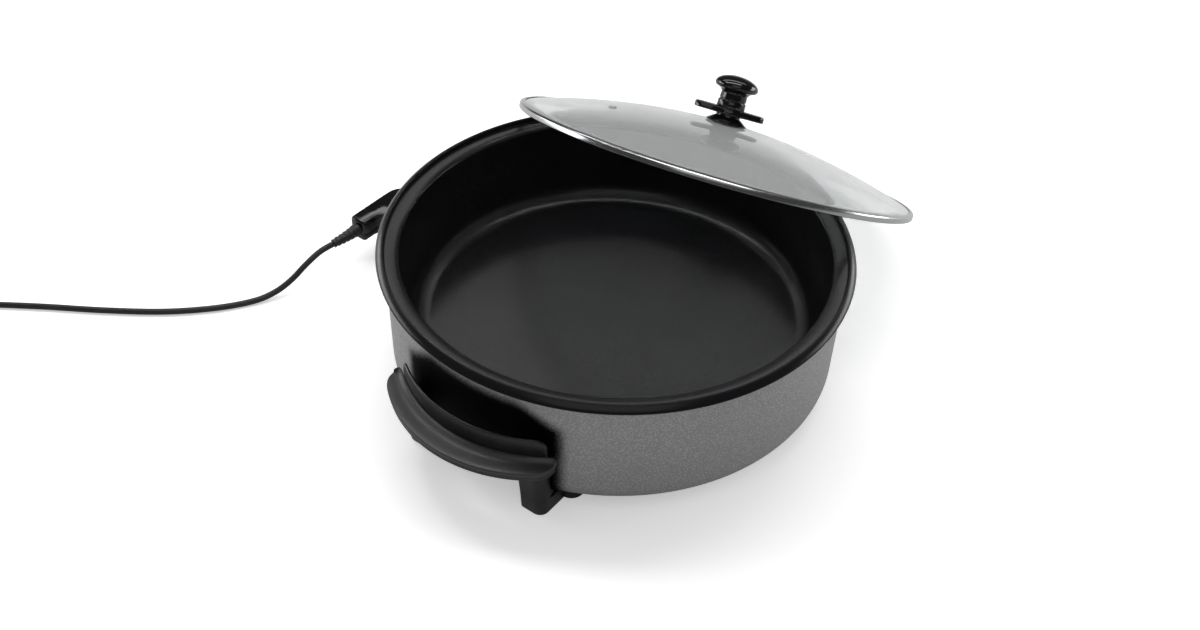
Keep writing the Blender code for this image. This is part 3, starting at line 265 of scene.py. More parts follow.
def coating_finish(look):
    """Dark non-stick coating with a fine pebbled grain, pale specks and a painted highlight along the
    rim's crest.
    """
    finish = Finish("nonstick_coating", look.coating, 0.32)
    finish.give("IOR", 1.30)
    fine = finish.grain(0.0012, 3.0, 0.6)
    dots = finish.ease(finish.cells(0.0017), 0.10, 0.24, 1.0, 0.0)
    specks = dots * finish.ease(finish.grain(0.0040, 2.0), 0.42, 0.62)
    cloud = finish.grain(0.060, 2.0)
    base = finish.tint(finish.ease(cloud, 0.35, 0.65), scaled(look.coating, 0.93),
                       scaled(look.coating, 1.07))
    # Painted highlight: the coating turns lighter in a thin line along the top of the rim's crest.
    painted_crest_highlight = finish.ease(finish.axis("Z"), CREST_Z + TABLE_Z - 0.0009, CREST_Z + TABLE_Z)
    base = finish.tint(painted_crest_highlight * fine, base, scaled(look.coating, 5.0))
    finish.give("Base Color", finish.tint(specks * 0.7, base, scaled(look.coating, 4.5)))
    finish.give("Roughness", finish.ease(cloud, 0.2, 0.8, 0.20, 0.24))
    finish.give("Normal", finish.relief(fine + specks * 0.3, 0.00018, 0.40))
    return finish


def paint_finish(look):
    """Grey hammer paint with small pits, and painted shade behind each handle: a soft black patch
    that stands for the guard's shadow and its dark reflection on the wall.
    """
    finish = Finish("grey_hammer_paint", look.paint, 0.40, 0.50)
    pits = finish.ease(finish.cells(look.hammer_size), 0.0, 0.70, 1.0, 0.0)
    fine = finish.grain(look.hammer_size * 0.7, 1.0)
    cloud = finish.grain(0.045, 2.0)
    height = pits * 0.55 + fine * 0.45
    tone = height * 0.9 + cloud * 0.15
    base = finish.tint(finish.ease(tone, 0.36, 0.72), scaled(look.paint, 0.80),
                       scaled(look.paint, 1.18))
    # Painted shade: a soft-edged patch above each guard turns black, fully metallic and rougher. It
    # stands in for the guard's shadow and dark reflection on the wall.
    side = finish.node("ShaderNodeMath", {"operation": "SIGN"}, (finish.axis("X"),))
    along = abs(finish.axis("Y") * side - 0.004)
    top = finish.ease(along, 0.040, 0.082, 0.0700, 0.0500)
    speckle = (finish.grain(0.0016, 2.0) - 0.5) * 0.006
    rise = finish.axis("Z") - top + speckle
    painted_guard_shade = finish.ease(rise, -0.0080, 0.0090, 1.0, 0.0) * finish.ease(
        along + speckle, 0.072, 0.086, 1.0, 0.0)
    finish.give("Base Color", finish.tint(painted_guard_shade, base, (0.002, 0.002, 0.002)))
    finish.give("Roughness", finish.ease(tone, 0.3, 0.8, 0.46, 0.36) + painted_guard_shade * 0.30)
    finish.give("Metallic", finish.ease(painted_guard_shade, 0.0, 1.0, 0.50, 1.0))
    finish.give("Normal", finish.relief(height, 0.00030, 0.60))
    return finish


def grip_finish(look):
    """Dark grey moulded plastic with a matt spark-eroded texture."""
    finish = Finish("grey_handle_plastic", look.grip, 0.42)
    fine = finish.grain(0.00060, 3.0, 0.6)
    cloud = finish.grain(0.030, 3.0)
    finish.give("Base Color", finish.tint(finish.ease(cloud, 0.3, 0.7), scaled(look.grip, 0.88),
                                          scaled(look.grip, 1.12)))
    finish.give("Roughness", finish.ease(cloud * 0.6 + fine * 0.4, 0.3, 0.7, 0.36, 0.48))
    finish.give("Normal", finish.relief(fine, 0.00014, 0.55))
    return finish


def dark_finish(look):
    """Black moulded plastic, satin, with a faint grain."""
    finish = Finish("black_handle_plastic", look.black_plastic, 0.34)
    fine = finish.grain(0.00060, 3.0, 0.6)
    cloud = finish.grain(0.025, 3.0)
    finish.give("Base Color", finish.tint(finish.ease(cloud, 0.3, 0.7),
                                          scaled(look.black_plastic, 0.80),
                                          scaled(look.black_plastic, 1.25)))
    finish.give("Roughness", finish.ease(cloud, 0.3, 0.7, 0.29, 0.40))
    finish.give("Normal", finish.relief(fine, 0.00009, 0.40))
    return finish


def gloss_finish(look):
    """Polished black plastic with faint flow marks."""
    finish = Finish("gloss_black_plastic", look.gloss, 0.10)
    cloud = finish.grain(0.018, 3.0, 0.6)
    finish.give("Base Color", finish.tint(cloud, scaled(look.gloss, 0.8),
                                          scaled(look.gloss, 1.2)))
    finish.give("Roughness", finish.ease(cloud, 0.35, 0.7, 0.07, 0.16))
    finish.give("Normal", finish.relief(cloud, 0.00040, 0.10))
    return finish


def glass_finish(look):
    """Clear tempered glass with a faint waviness and a few dried marks."""
    finish = Finish("tempered_glass", look.glass, 0.04)
    finish.give("Transmission Weight", 0.78)
    finish.give("IOR", 1.33)
    marks = finish.ease(finish.grain(0.045, 2.0), 0.40, 0.75, 0.02, 0.09)
    finish.give("Roughness", marks)
    finish.give("Normal", finish.relief(finish.grain(0.09, 1.0), 0.0012, 0.12))
    # A milky white layer over the glass, thicker downhill towards +X.
    milky_cover = finish.node("ShaderNodeBsdfPrincipled", {}, {
        "Base Color": (0.85, 0.86, 0.87, 1), "Roughness": 0.35})
    downhill = finish.axis("X") + finish.grain(0.08, 3.0) * 0.05
    finish.cover(milky_cover, finish.ease(downhill, 0.18, 0.34, 0.0, 0.34))
    return finish


def steel_finish(look):
    """Polished stainless steel with fine rolling lines."""
    finish = Finish("polished_steel", look.steel, 0.18, 1.0)
    stretched = finish.node("ShaderNodeMapping", {}, {
        "Vector": finish.place, "Scale": (1.0, 1.0, 14.0)})
    lines = finish.grain(0.0040, 3.0, 0.6, stretched)
    finish.give("Roughness", finish.ease(lines, 0.3, 0.7, 0.12, 0.26))
    finish.give("Base Color", finish.tint(lines, scaled(look.steel, 0.92),
                                          scaled(look.steel, 1.05)))
    finish.give("Normal", finish.relief(lines, 0.00004, 0.15))
    return finish


def sheath_finish(look):
    """Heat-tinted dull steel sheath of the element."""
    finish = Finish("element_sheath", (0.30, 0.30, 0.31), 0.45, 1.0)
    cloud = finish.grain(0.020, 4.0, 0.6)
    finish.give("Base Color", finish.tint(cloud, (0.20, 0.17, 0.15), (0.40, 0.39, 0.40)))
    finish.give("Roughness", finish.ease(cloud, 0.3, 0.7, 0.38, 0.55))
    return finish


def sleeve_finish(look):
    """Cast aluminium with a sandy skin."""
    finish = Finish("cast_aluminium", (0.55, 0.55, 0.56), 0.45, 1.0)
    sand = finish.grain(0.0006, 3.0, 0.6)
    finish.give("Roughness", finish.ease(sand, 0.3, 0.7, 0.40, 0.55))
    finish.give("Normal", finish.relief(sand, 0.00015, 0.5))
    return finish


def cord_finish(look):
    """Black rubbery sheath, a little dusty."""
    finish = Finish("cord_sheath", look.black_plastic, 0.46)
    dust = finish.grain(0.012, 4.0, 0.6)
    finish.give("Base Color", finish.tint(finish.ease(dust, 0.45, 0.75),
                                          scaled(look.black_plastic, 1.0),
                                          scaled(look.black_plastic, 1.8)))
    finish.give("Roughness", finish.ease(dust, 0.3, 0.7, 0.42, 0.54))
    finish.give("Normal", finish.relief(finish.grain(0.0008, 2.0), 0.00008, 0.4))
    return finish


def lens_finish(look):
    """Amber indicator lens with a ribbed back."""
    finish = Finish("amber_lens", look.lens, 0.12)
    finish.give("Coat Weight", 0.6)
    ribs = finish.cells(0.0011)
    finish.give("Base Color", finish.tint(ribs, scaled(look.lens, 0.6), scaled(look.lens, 1.2)))
    finish.give("Normal", finish.relief(ribs, 0.00020, 0.3))
    return finish


FINISHES = {
    "coating": coating_finish, "shell_paint": paint_finish, "grip": grip_finish,
    "dark": dark_finish, "gloss": gloss_finish, "glass": glass_finish, "steel": steel_finish,
    "sheath": sheath_finish, "sleeve": sleeve_finish, "cord": cord_finish, "lens": lens_finish,
}
made_finishes = {}


def finish_for(slot):
    """The finish of a material slot, made once."""
    if slot not in made_finishes:
        made_finishes[slot] = FINISHES[slot](bpy.context.scene.skillet_look)
    return made_finishes[slot].material


# Shapes

def arc(centre_r, centre_z, radius, start, end, count):
    """Points of an arc in the (radius, height) plane, angles in degrees."""
    return [(centre_r + radius * math.cos(math.radians(a)),
             centre_z + radius * math.sin(math.radians(a)))
            for a in np.linspace(start, end, count)]


def route(points, step):
    """Evenly spaced points on a smooth curve through a route's own points."""
    ends = [Vector(p) for p in points]
    ends = [ends[0] * 2 - ends[1]] + ends + [ends[-1] * 2 - ends[-2]]
    fine = []
    for a, b, c, d in zip(ends, ends[1:], ends[2:], ends[3:]):
        for s in np.linspace(0, 1, 40, endpoint=False):
            fine.append(0.5 * (2 * b + (c - a) * s + (2 * a - 5 * b + 4 * c - d) * s ** 2
                               + (3 * b - a - 3 * c + d) * s ** 3))
    fine.append(ends[-2])
    along = [0]
    for a, b in zip(fine, fine[1:]):
        along.append(along[-1] + (b - a).length)
    spaced = []
    for target in np.linspace(0, along[-1], max(2, round(along[-1] / step)) + 1):
        k = min(int(np.searchsorted(along, target, side="right")), len(fine) - 1)
        share = (target - along[k - 1]) / max(along[k] - along[k - 1], WELD)
        spaced.append(fine[k - 1].lerp(fine[k], min(share, 1)))
    return spaced


def flowing(points, step):
    """An outline made smooth through its points."""
    return [(p.x, p.z) for p in route([(r, 0, z) for r, z in points], step)]


def spun(outline, steps, turn=2 * math.pi):
    """Bmesh of an outline of (radius, height) points spun about Z."""
    shape = bmesh.new()
    ring = [shape.verts.new((r, 0, z)) for r, z in outline]
    line = [shape.edges.new(pair) for pair in zip(ring, ring[1:])]
    if outline[0][0] > 0:
        line.append(shape.edges.new((ring[-1], ring[0])))
    whole = turn > 6.28
    bmesh.ops.spin(shape, geom=ring + line, cent=(0, 0, 0), axis=(0, 0, 1), angle=turn,
                   steps=steps, use_merge=whole)
    if not whole:
        bmesh.ops.holes_fill(shape, edges=[e for e in shape.edges if e.is_boundary], sides=0)
    bmesh.ops.remove_doubles(shape, verts=shape.verts, dist=WELD)
    bmesh.ops.recalc_face_normals(shape, faces=shape.faces)
    return shape


def lofted(rings):
    """Closed bmesh bridged through rings of points, flat at both ends."""
    shape = bmesh.new()
    loops = []
    for ring in rings:
        corners = [shape.verts.new(point) for point in ring]
        loops.append([shape.edges.new(pair)
                      for pair in zip(corners, corners[1:] + corners[:1])])
    for near, far in zip(loops, loops[1:]):
        bmesh.ops.bridge_loops(shape, edges=near + far)
    for loop in (loops[0], loops[-1]):
        bmesh.ops.holes_fill(shape, edges=loop, sides=0)
    bmesh.ops.recalc_face_normals(shape, faces=shape.faces)
    return shape


def copied(name):
    """Bmesh of a CAD node, welded, with its flat faces whole again."""
    shape = bmesh.new()
    shape.from_mesh(nodes[name].data)
    bmesh.ops.remove_doubles(shape, verts=shape.verts, dist=WELD * 10)
    bmesh.ops.dissolve_limit(shape, angle_limit=math.radians(0.6), verts=shape.verts,
                             edges=shape.edges)
    return shape


def softened(shape, radius, segments=2, angle=32):
    """Rounds the edges that are sharper than an angle."""
    sharp = [e for e in shape.edges
             if len(e.link_faces) == 2 and e.calc_face_angle() > math.radians(angle)]
    bmesh.ops.bevel(shape, geom=sharp, offset=radius, offset_type="OFFSET", segments=segments,
                    profile=0.5, affect="EDGES", clamp_overlap=True, material=-1)
    return shape


def linked(name, data):
    """Object of some data, in the scene."""
    made = bpy.data.objects.new(name, data)
    bpy.context.scene.collection.objects.link(made)
    return made


def placed(name, shape):
    """Object at the origin from a bmesh."""
    data = bpy.data.meshes.new(name)
    shape.to_mesh(data)
    shape.free()
    return linked(name, data)


def smoothed(made, crease):
    """Smooth faces, with edges past an angle kept sharp."""
    made.data.shade_smooth()
    made.data.set_sharp_from_angle(angle=math.radians(crease))


def finished(name, shape, slot, body, stands_for=(), matrix=None, crease=CREASE):
    """Object at the origin from a bmesh, with its finish, riding on a body."""
    if matrix:
        bmesh.ops.transform(shape, matrix=matrix, verts=shape.verts)
    made = placed(name, shape)
    smoothed(made, crease)
    made.data.materials.append(finish_for(slot))
    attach(made, body)
    if stands_for:
        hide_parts(*stands_for)
    return made


def recoat(name, slot):
    """Gives a CAD node that stays its finish."""
    for place in nodes[name].material_slots:
        place.material = finish_for(slot)


def wire(name, points, radius, slot, body, resolution=4, radii=None):
    """Round curve through points, with a share of the radius for each where given."""
    data = bpy.data.curves.new(name, "CURVE")
    data.dimensions = "3D"
    data.fill_mode = "FULL"
    data.bevel_depth = radius
    data.bevel_resolution = resolution
    data.use_fill_caps = True
    spline = data.splines.new("POLY")
    spline.points.add(len(points) - 1)
    for index, point in enumerate(points):
        spline.points[index].co = (*point, 1)
        spline.points[index].radius = radii[index] if radii else 1.0
    spline.use_smooth = True
    made = linked(name, data)
    data.materials.append(finish_for(slot))
    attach(made, body)
    return made


def corners_of(name):
    """Corner points of a CAD node, each once."""
    return np.array(sorted({tuple(round(c, 6) for c in v.co)
                            for v in nodes[name].data.vertices}))


def lid_frame():
    """Frame of the leaning lid: origin on its axis at the band's lower edge, X downhill."""
    points = corners_of("lid_band")
    middle = points.mean(axis=0)
    normal = np.linalg.svd(points - middle)[2][2]
    normal *= math.copysign(1, normal[2])
    origin = middle + normal * ((points - middle) @ normal).min()
    normal = Vector(normal)
    down = Vector((0, 0, -1))
    downhill = (down - normal * down.dot(normal)).normalized()
    made = Matrix([(*axis, 0) for axis in (downhill, normal.cross(downhill), normal)]
                  + [(0, 0, 0, 1)])
    made.transpose()
    made.translation = Vector(origin)
    return made


def dome(radius):
    """Height of the glass's upper face above the bottom of the lid's band."""
    return BAND_TOP + DOME_RISE * (1 - (radius / GLASS_R) ** DOME_POWER)


# Cord

def cord_line():
    """Points of the strain relief's middle line and of the whole cord after it."""
    rest = CORD_R + GAP
    relief = [(EXIT_X, ARM_Y, CONTROL_MID_Z)]
    for share, aside, drop in ((0.15, 0, 0), (0.30, 0, 0), (0.60, 0.027, 0.010),
                               (1.0, 0.113, 0.053)):
        relief.append((EXIT_X - RELIEF_LENGTH * share, ARM_Y + RELIEF_LENGTH * aside,
                       CONTROL_MID_Z - RELIEF_LENGTH * drop))
    away = [(EXIT_X + x, ARM_Y + y, z) for x, y, z in (
        (-0.0433, 0.0085, 0.0328), (-0.0593, 0.0122, 0.0250), (-0.0747, 0.0162, 0.0148),
        (-0.0917, 0.0225, 0.0066), (-0.1117, 0.0320, rest), (-0.1417, 0.0530, rest),
        (-0.1747, 0.0860, rest), (-0.2077, 0.1300, rest), (-0.2397, 0.1780, rest),
        (-0.2737, 0.2260, rest), (-0.3017, 0.2650, rest))]
    bent = [p for p in route(relief + away, CORD_R) if p.x > EXIT_X - RELIEF_LENGTH - WELD]
    sleeve = route(bent, RELIEF_LENGTH / 40)
    heading = (sleeve[-1] - sleeve[-2]).normalized()
    free = route([sleeve[-1] + heading * (GAP + CORD_R * 0.12)] + away, 0.0045)

    approach = free[-1] - free[-2]
    approach.z = 0
    approach.normalize()
    inward = Vector((-approach.y, approach.x, 0))
    start = free[-1] + approach * GAP
    middle = start + approach * 2 * CORD_R + inward * COIL_R
    pitch = 2 * CORD_R + 0.0006

    def wound(turns, radius, height):
        angle = 2 * math.pi * turns
        out = -inward * math.cos(angle) + approach * math.sin(angle)
        return Vector((*(middle + out * radius).xy, rest + height))

    coil = [start]
    inner = COIL_R - pitch * COIL_TURNS
    half = COIL_SIDES // 2
    for index in range(COIL_SIDES * COIL_TURNS + 1):
        turns = index / COIL_SIDES
        coil.append(wound(turns, COIL_R - pitch * turns, 0))
    for index in range(1, half):
        rise = pitch * 0.5 * (1 - math.cos(math.pi * index / half))
        deeper = pitch * min(index, half - index) / COIL_SIDES
        coil.append(wound(COIL_TURNS + index / COIL_SIDES, inner - deeper, rise))
    for index in range(COIL_SIDES * COIL_TURNS - COIL_SIDES // 4 + 1):
        turns = COIL_TURNS + 0.5 + index / COIL_SIDES
        coil.append(wound(turns, inner + pitch * index / COIL_SIDES, pitch))
    last = 2 * math.pi * turns
    leave = (approach * math.cos(last) + inward * math.sin(last)).normalized()
    coil.append(coil[-1] + leave * 2 * CORD_R)

    out = Vector((leave.y, -leave.x, 0))
    if out.dot(approach) < 0:
        out = -out
    begin = coil[-1] + leave * GAP
    drop = pitch + rest - 0.0092 - GAP
    tail = [begin, begin + leave * COIL_R * 0.12]
    for along, aside, share in ((0.45, 0.02, 0.15), (0.85, 0.08, 0.7), (1.2, 0.16, 1)):
        tail.append(begin + (leave * along + out * aside) * COIL_R
                    - Vector((0, 0, drop * share)))
    line = free + route(coil[1:-1], 0.0045)[1:] + route(tail, 0.0045)[1:]
    return [ON_TABLE @ p for p in sleeve], [ON_TABLE @ p for p in line]


# Sizes and colours that a user may change

def size(name, text, default):
    """A length property."""
    return bpy.props.FloatProperty(name=name, description=text, default=default, min=0.0,
                                   precision=4, unit="LENGTH", subtype="DISTANCE")


def shade(name, text, default):
    """A colour property."""
    return bpy.props.FloatVectorProperty(name=name, description=text, default=default, size=3,
                                         min=0.0, max=1.0, subtype="COLOR")


def count(name, text, default):
    """A whole number property."""
    return bpy.props.IntProperty(name=name, description=text, default=default, min=8)


class SkilletLook(bpy.types.PropertyGroup):
    """Colours and grain of the skillet's surfaces."""

    coating: shade("Coating", "Non-stick coating of the pan", (0.008, 0.008, 0.009))
    paint: shade("Shell paint", "Hammer paint of the outer shell", (0.38, 0.38, 0.38))
    hammer_size: size("Hammer grain", "Width of one pit in the hammer paint", 0.0017)
    grip: shade("Grip", "Plastic of the grips' top plates", (0.036, 0.036, 0.038))
    black_plastic: shade("Black plastic", "Plastic of guards, legs and cord", (0.010, 0.010, 0.011))
    gloss: shade("Gloss black", "Polished plastic of the knob and control", (0.003, 0.003, 0.0035))
    glass: shade("Glass", "Tint of the lid's glass", (0.87, 0.89, 0.89))
    steel: shade("Steel", "Stainless band, eyelet and pins", (0.46, 0.46, 0.47))
    lens: shade("Lens", "Indicator lens", (0.75, 0.28, 0.03))


class SkilletSizes(bpy.types.PropertyGroup):
    """Fineness and edge rounding of the skillet's pieces."""

    pan_steps: count("Steps round the pan", "Facets round the pan and its shell", 192)
    lid_steps: count("Steps round the lid", "Facets round the glass and the band", 192)
    knob_steps: count("Steps round the knob", "Facets round the knob", 72)
    mould_round: size("Moulded edge", "Rounding on the edges of moulded plastic", 0.0007)
    fine_round: size("Fine edge", "Rounding on the edges of small pieces", 0.0003)
    band_round: size("Band edge", "Rounding on the edges of the steel band", 0.00022)


class SkilletStage(bpy.types.PropertyGroup):
    """Floor, light and camera."""

    floor_colour: shade("Floor", "Colour of the floor", (0.92, 0.92, 0.92))
    world_level: bpy.props.FloatProperty(
        name="Surround", description="Level of the even light from all round", default=0.25,
        min=0.0, subtype="FACTOR")
    lens: bpy.props.FloatProperty(
        name="Lens", description="Focal length of the camera", default=44.409,
        min=1.0, unit="CAMERA")
    distance: size("Distance", "From the camera to the middle of the rim", 1.30)
    heading: bpy.props.FloatProperty(
        name="Heading", description="Turn of the camera about the upright axis",
        default=math.radians(-55.3), subtype="ANGLE")
    elevation: bpy.props.FloatProperty(
        name="Elevation", description="Camera's angle above the horizon",
        default=math.radians(38.67), subtype="ANGLE")
    roll: bpy.props.FloatProperty(
        name="Roll", description="Camera's turn about its own axis",
        default=math.radians(2.778), subtype="ANGLE")


# Operators

class SKILLET_OT_stage(bpy.types.Operator):
    """Pale floor, even surround, soft lamps and the camera"""

    bl_idname = "skillet.stage"
    bl_label = "Stage"

    def execute(self, context):
        stage = context.scene.skillet_stage
        self.floor(stage)
        self.surround(context, stage)
        for name, heading, height, away, across, deep, power in (
                ("top_lamp", 35, 76, 1.60, 1.60, 0.35, 11.0),
                ("back_lamp", 34, 45, 1.40, 1.80, 0.20, 4.0),
                ("key_lamp", 95, 55, 1.60, 0.25, 0.25, 2.5),
                ("left_lamp", 104, 10, 1.70, 1.40, 0.50, 11.0),
                ("right_lamp", -34, 10, 1.70, 1.40, 0.50, 11.0),
                ("front_lamp", 214, 50, 2.20, 1.80, 1.40, 7.0)):
            self.lamp(name, heading, height, away, across, deep, power)
        self.camera(context, stage)
        return {"FINISHED"}

    def floor(self, stage):
        """Large floor that keeps the object's shadow and turns white further out."""
        shape = bmesh.new()
        bmesh.ops.create_grid(shape, x_segments=1, y_segments=1, size=FLOOR_HALF)
        bmesh.ops.translate(shape, vec=(0, 0, TABLE_Z), verts=shape.verts)
        made = placed("floor", shape)
        paper = Finish("floor_paper", stage.floor_colour, 0.9)
        paper.give("Specular IOR Level", 0.0)
        paper.give("Emission Strength", 1.0)
        reach = paper.node("ShaderNodeVectorMath", {"operation": "LENGTH"}, (paper.place,), "Value")
        glow = paper.ease(reach, FLOOR_NEAR, FLOOR_FAR, 0.38, 0.85)
        paper.give("Emission Color", paper.ray("Camera") * glow + paper.ray("Transmission") * 0.18)
        paper.give("Base Color", paper.tint(paper.ray("Glossy"), stage.floor_colour,
                                            scaled(stage.floor_colour, 0.72)))
        made.data.materials.append(paper.material)

    def surround(self, context, stage):
        """White to the eye and behind glass, an even soft light to everything else."""
        world = bpy.data.worlds.new("surround")
        context.scene.world = world
        sky = Shading(world, "Background")
        sky.give("Color", (1, 1, 1, 1))
        seen = sky.node("ShaderNodeMath", {"operation": "MAXIMUM"},
                        (sky.ray("Camera"), sky.ray("Transmission")))
        even = stage.world_level
        sky.give("Strength", seen * (1 - even) + even - sky.ray("Glossy") * (0.7 * even))

    def lamp(self, name, heading, height, away, across, deep, power):
        """Soft lamp of a width and depth that faces the pan."""
        data = bpy.data.lights.new(name, "AREA")
        data.shape = "RECTANGLE"
        data.size = across
        data.size_y = deep
        data.energy = power
        made = linked(name, data)
        turn, rise = math.radians(heading), math.radians(height)
        made.location = Vector((math.cos(turn) * math.cos(rise), math.sin(turn) * math.cos(rise),
                                math.sin(rise))) * away
        made.rotation_euler = made.location.to_track_quat("Z", "Y").to_euler()

    def camera(self, context, stage):
        """Camera at the photograph's angle."""
        data = bpy.data.cameras.new("camera")
        data.sensor_width = 36
        data.lens = stage.lens
        data.shift_x = SHIFT_RIGHT / PHOTO_WIDTH
        data.shift_y = SHIFT_UP / PHOTO_WIDTH
        data.clip_start = 0.01
        made = linked("camera", data)
        made.matrix_world = (
            Matrix.Translation((0, 0, RIM_Z + TABLE_Z)) @ Matrix.Rotation(stage.heading, 4, "Z")
            @ Matrix.Rotation(math.pi / 2 - stage.elevation, 4, "X")
            @ Matrix.Translation((0, 0, stage.distance)) @ Matrix.Rotation(stage.roll, 4, "Z"))
        context.scene.camera = made
        context.scene.view_settings.view_transform = "Standard"


class SKILLET_OT_cord(bpy.types.Operator):
    """Cord with its strain relief, coil and mains plug"""

    bl_idname = "skillet.cord"
    bl_label = "Cord and plug"

    def execute(self, context):
        sizes = context.scene.skillet_sizes
        sleeve, line = cord_line()
        last = len(sleeve) - 1
        radii = []
        for index in range(len(sleeve)):
            share = index / last
            wave = 0.5 - 0.5 * math.cos(2 * math.pi * share * RELIEF_RIBS)
            cut = 0.17 * wave ** 3 if 0.08 < share < 0.96 else 0
            radii.append((1 - share * 0.333) * (1 - cut))
        relief = wire("ribbed_relief", sleeve, RELIEF_R, "dark", "heat_control", 6, radii)
        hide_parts("strain_relief")
        lead = wire("mains_cord", line, CORD_R, "cord", "heat_control")
        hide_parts("cord", "cord_coil", "cord_tail")
        plug = finished("moulded_plug", softened(copied("mains_plug"), sizes.mould_round),
                        "dark", "heat_control", ("mains_plug",))
        for name in ("mains_pin_a", "mains_pin_b"):
            recoat(name, "steel")
        length = sum((b - a).length for a, b in zip(line, line[1:]))
        return {"FINISHED"}


class SKILLET_OT_pan(bpy.types.Operator):
    """Coated pan with its rolled rim and lid ledge"""

    bl_idname = "skillet.pan"
    bl_label = "Pan"

    def execute(self, context):
        sizes = context.scene.skillet_sizes
        outline = [(0, COOK_Z)]
        outline += arc(FLAT_R, COOK_Z + CORNER_R, CORNER_R, -90, 0, 16)
        outline += flowing([(PAN_R, LEDGE_Z - 0.0062), (PAN_R + 0.0004, LEDGE_Z - 0.0035),
                            (PAN_R + 0.0018, LEDGE_Z - 0.0013), (PAN_R + 0.0044, LEDGE_Z)],
                           0.0007)
        outline += [(STEP_R - 0.0010, LEDGE_Z), (STEP_R - 0.0005, LEDGE_Z - 0.0005),
                    (STEP_R, LEDGE_Z), (STEP_R, CREST_Z - 0.0013)]
        outline += flowing([(STEP_R + 0.0002, CREST_Z - 0.0008), (STEP_R + 0.0006, CREST_Z - 0.00025),
                            (CREST_R, CREST_Z), (CREST_R + 0.0026, CREST_Z - 0.0017),
                            (CREST_R + 0.0047, CREST_Z - 0.0039), (RIM_R, RIM_Z)], 0.0006)
        outline += [(RIM_R - 0.0006, RIM_Z - 0.0011), (RIM_R - 0.0022, LIP_Z),
                    (PAN_R + 0.0059, LIP_Z), (PAN_R + 0.0043, LIP_Z - 0.0016),
                    (PAN_R + 0.0037, LIP_Z - 0.0064)]
        outline += arc(FLAT_R, COOK_Z + CORNER_R, CORNER_R + 0.0035, 0, -90, 10)
        outline.append((0, COOK_Z - 0.0035))
        shape = spun(outline, sizes.pan_steps)
        for x, y in ((1, 1), (1, -1), (-1, 1), (-1, -1)):
            stud = bmesh.ops.create_cone(shape, cap_ends=True, segments=24, radius1=STUD_R,
                                         radius2=STUD_R, depth=STUD_LENGTH)
            bmesh.ops.translate(shape, vec=(x * STUD_X, y * STUD_Y, STUD_Z),
                                verts=stud["verts"])
        finished("coated_pan", shape, "coating", "pan_unit", ("pan_body",), ON_TABLE)
        return {"FINISHED"}


class SKILLET_OT_shell(bpy.types.Operator):
    """Painted outer shell with the window for the control"""

    bl_idname = "skillet.shell"
    bl_label = "Outer shell"

    def execute(self, context):
        sizes = context.scene.skillet_sizes
        foot = SHELL_FOOT_R - CORNER_R
        outline = [(0, SHELL_Z + SHEET)]
        outline += arc(foot, SHELL_Z + CORNER_R, CORNER_R - SHEET, -90, 0, 14)
        outline += [(SHELL_R - SHEET, LIP_Z - GAP), (SHELL_R, LIP_Z - GAP)]
        outline += arc(foot, SHELL_Z + CORNER_R, CORNER_R, 0, -90, 18)
        outline.append((0, SHELL_Z))
        made = finished("painted_shell", spun(outline, sizes.pan_steps), "shell_paint",
                        "pan_unit", ("outer_shell",), ON_TABLE)
        cutter = bmesh.new()
        bmesh.ops.create_cube(cutter, size=1)
        bmesh.ops.scale(cutter, vec=WINDOW, verts=cutter.verts)
        bmesh.ops.translate(cutter, vec=(0, WINDOW_Y, CONTROL_MID_Z + TABLE_Z),
                            verts=cutter.verts)
        bmesh.ops.bevel(cutter, geom=[e for e in cutter.edges if abs(
            (e.verts[0].co - e.verts[1].co).y) > 0.01], offset=0.0012, segments=3, profile=0.5,
            affect="EDGES", material=-1)
        cut(made, cutter)
        return {"FINISHED"}


def cut(made, cutter):
    """Takes the cutter's space out of an object's mesh."""
    tool = placed("cutter", cutter)
    change = made.modifiers.new("Cut", "BOOLEAN")
    change.operation = "DIFFERENCE"
    change.solver = "EXACT"
    change.object = tool
    bpy.context.view_layer.update()
    graph = bpy.context.evaluated_depsgraph_get()
    result = bpy.data.meshes.new_from_object(made.evaluated_get(graph))
    made.modifiers.clear()
    made.data = result
    bpy.data.objects.remove(tool)


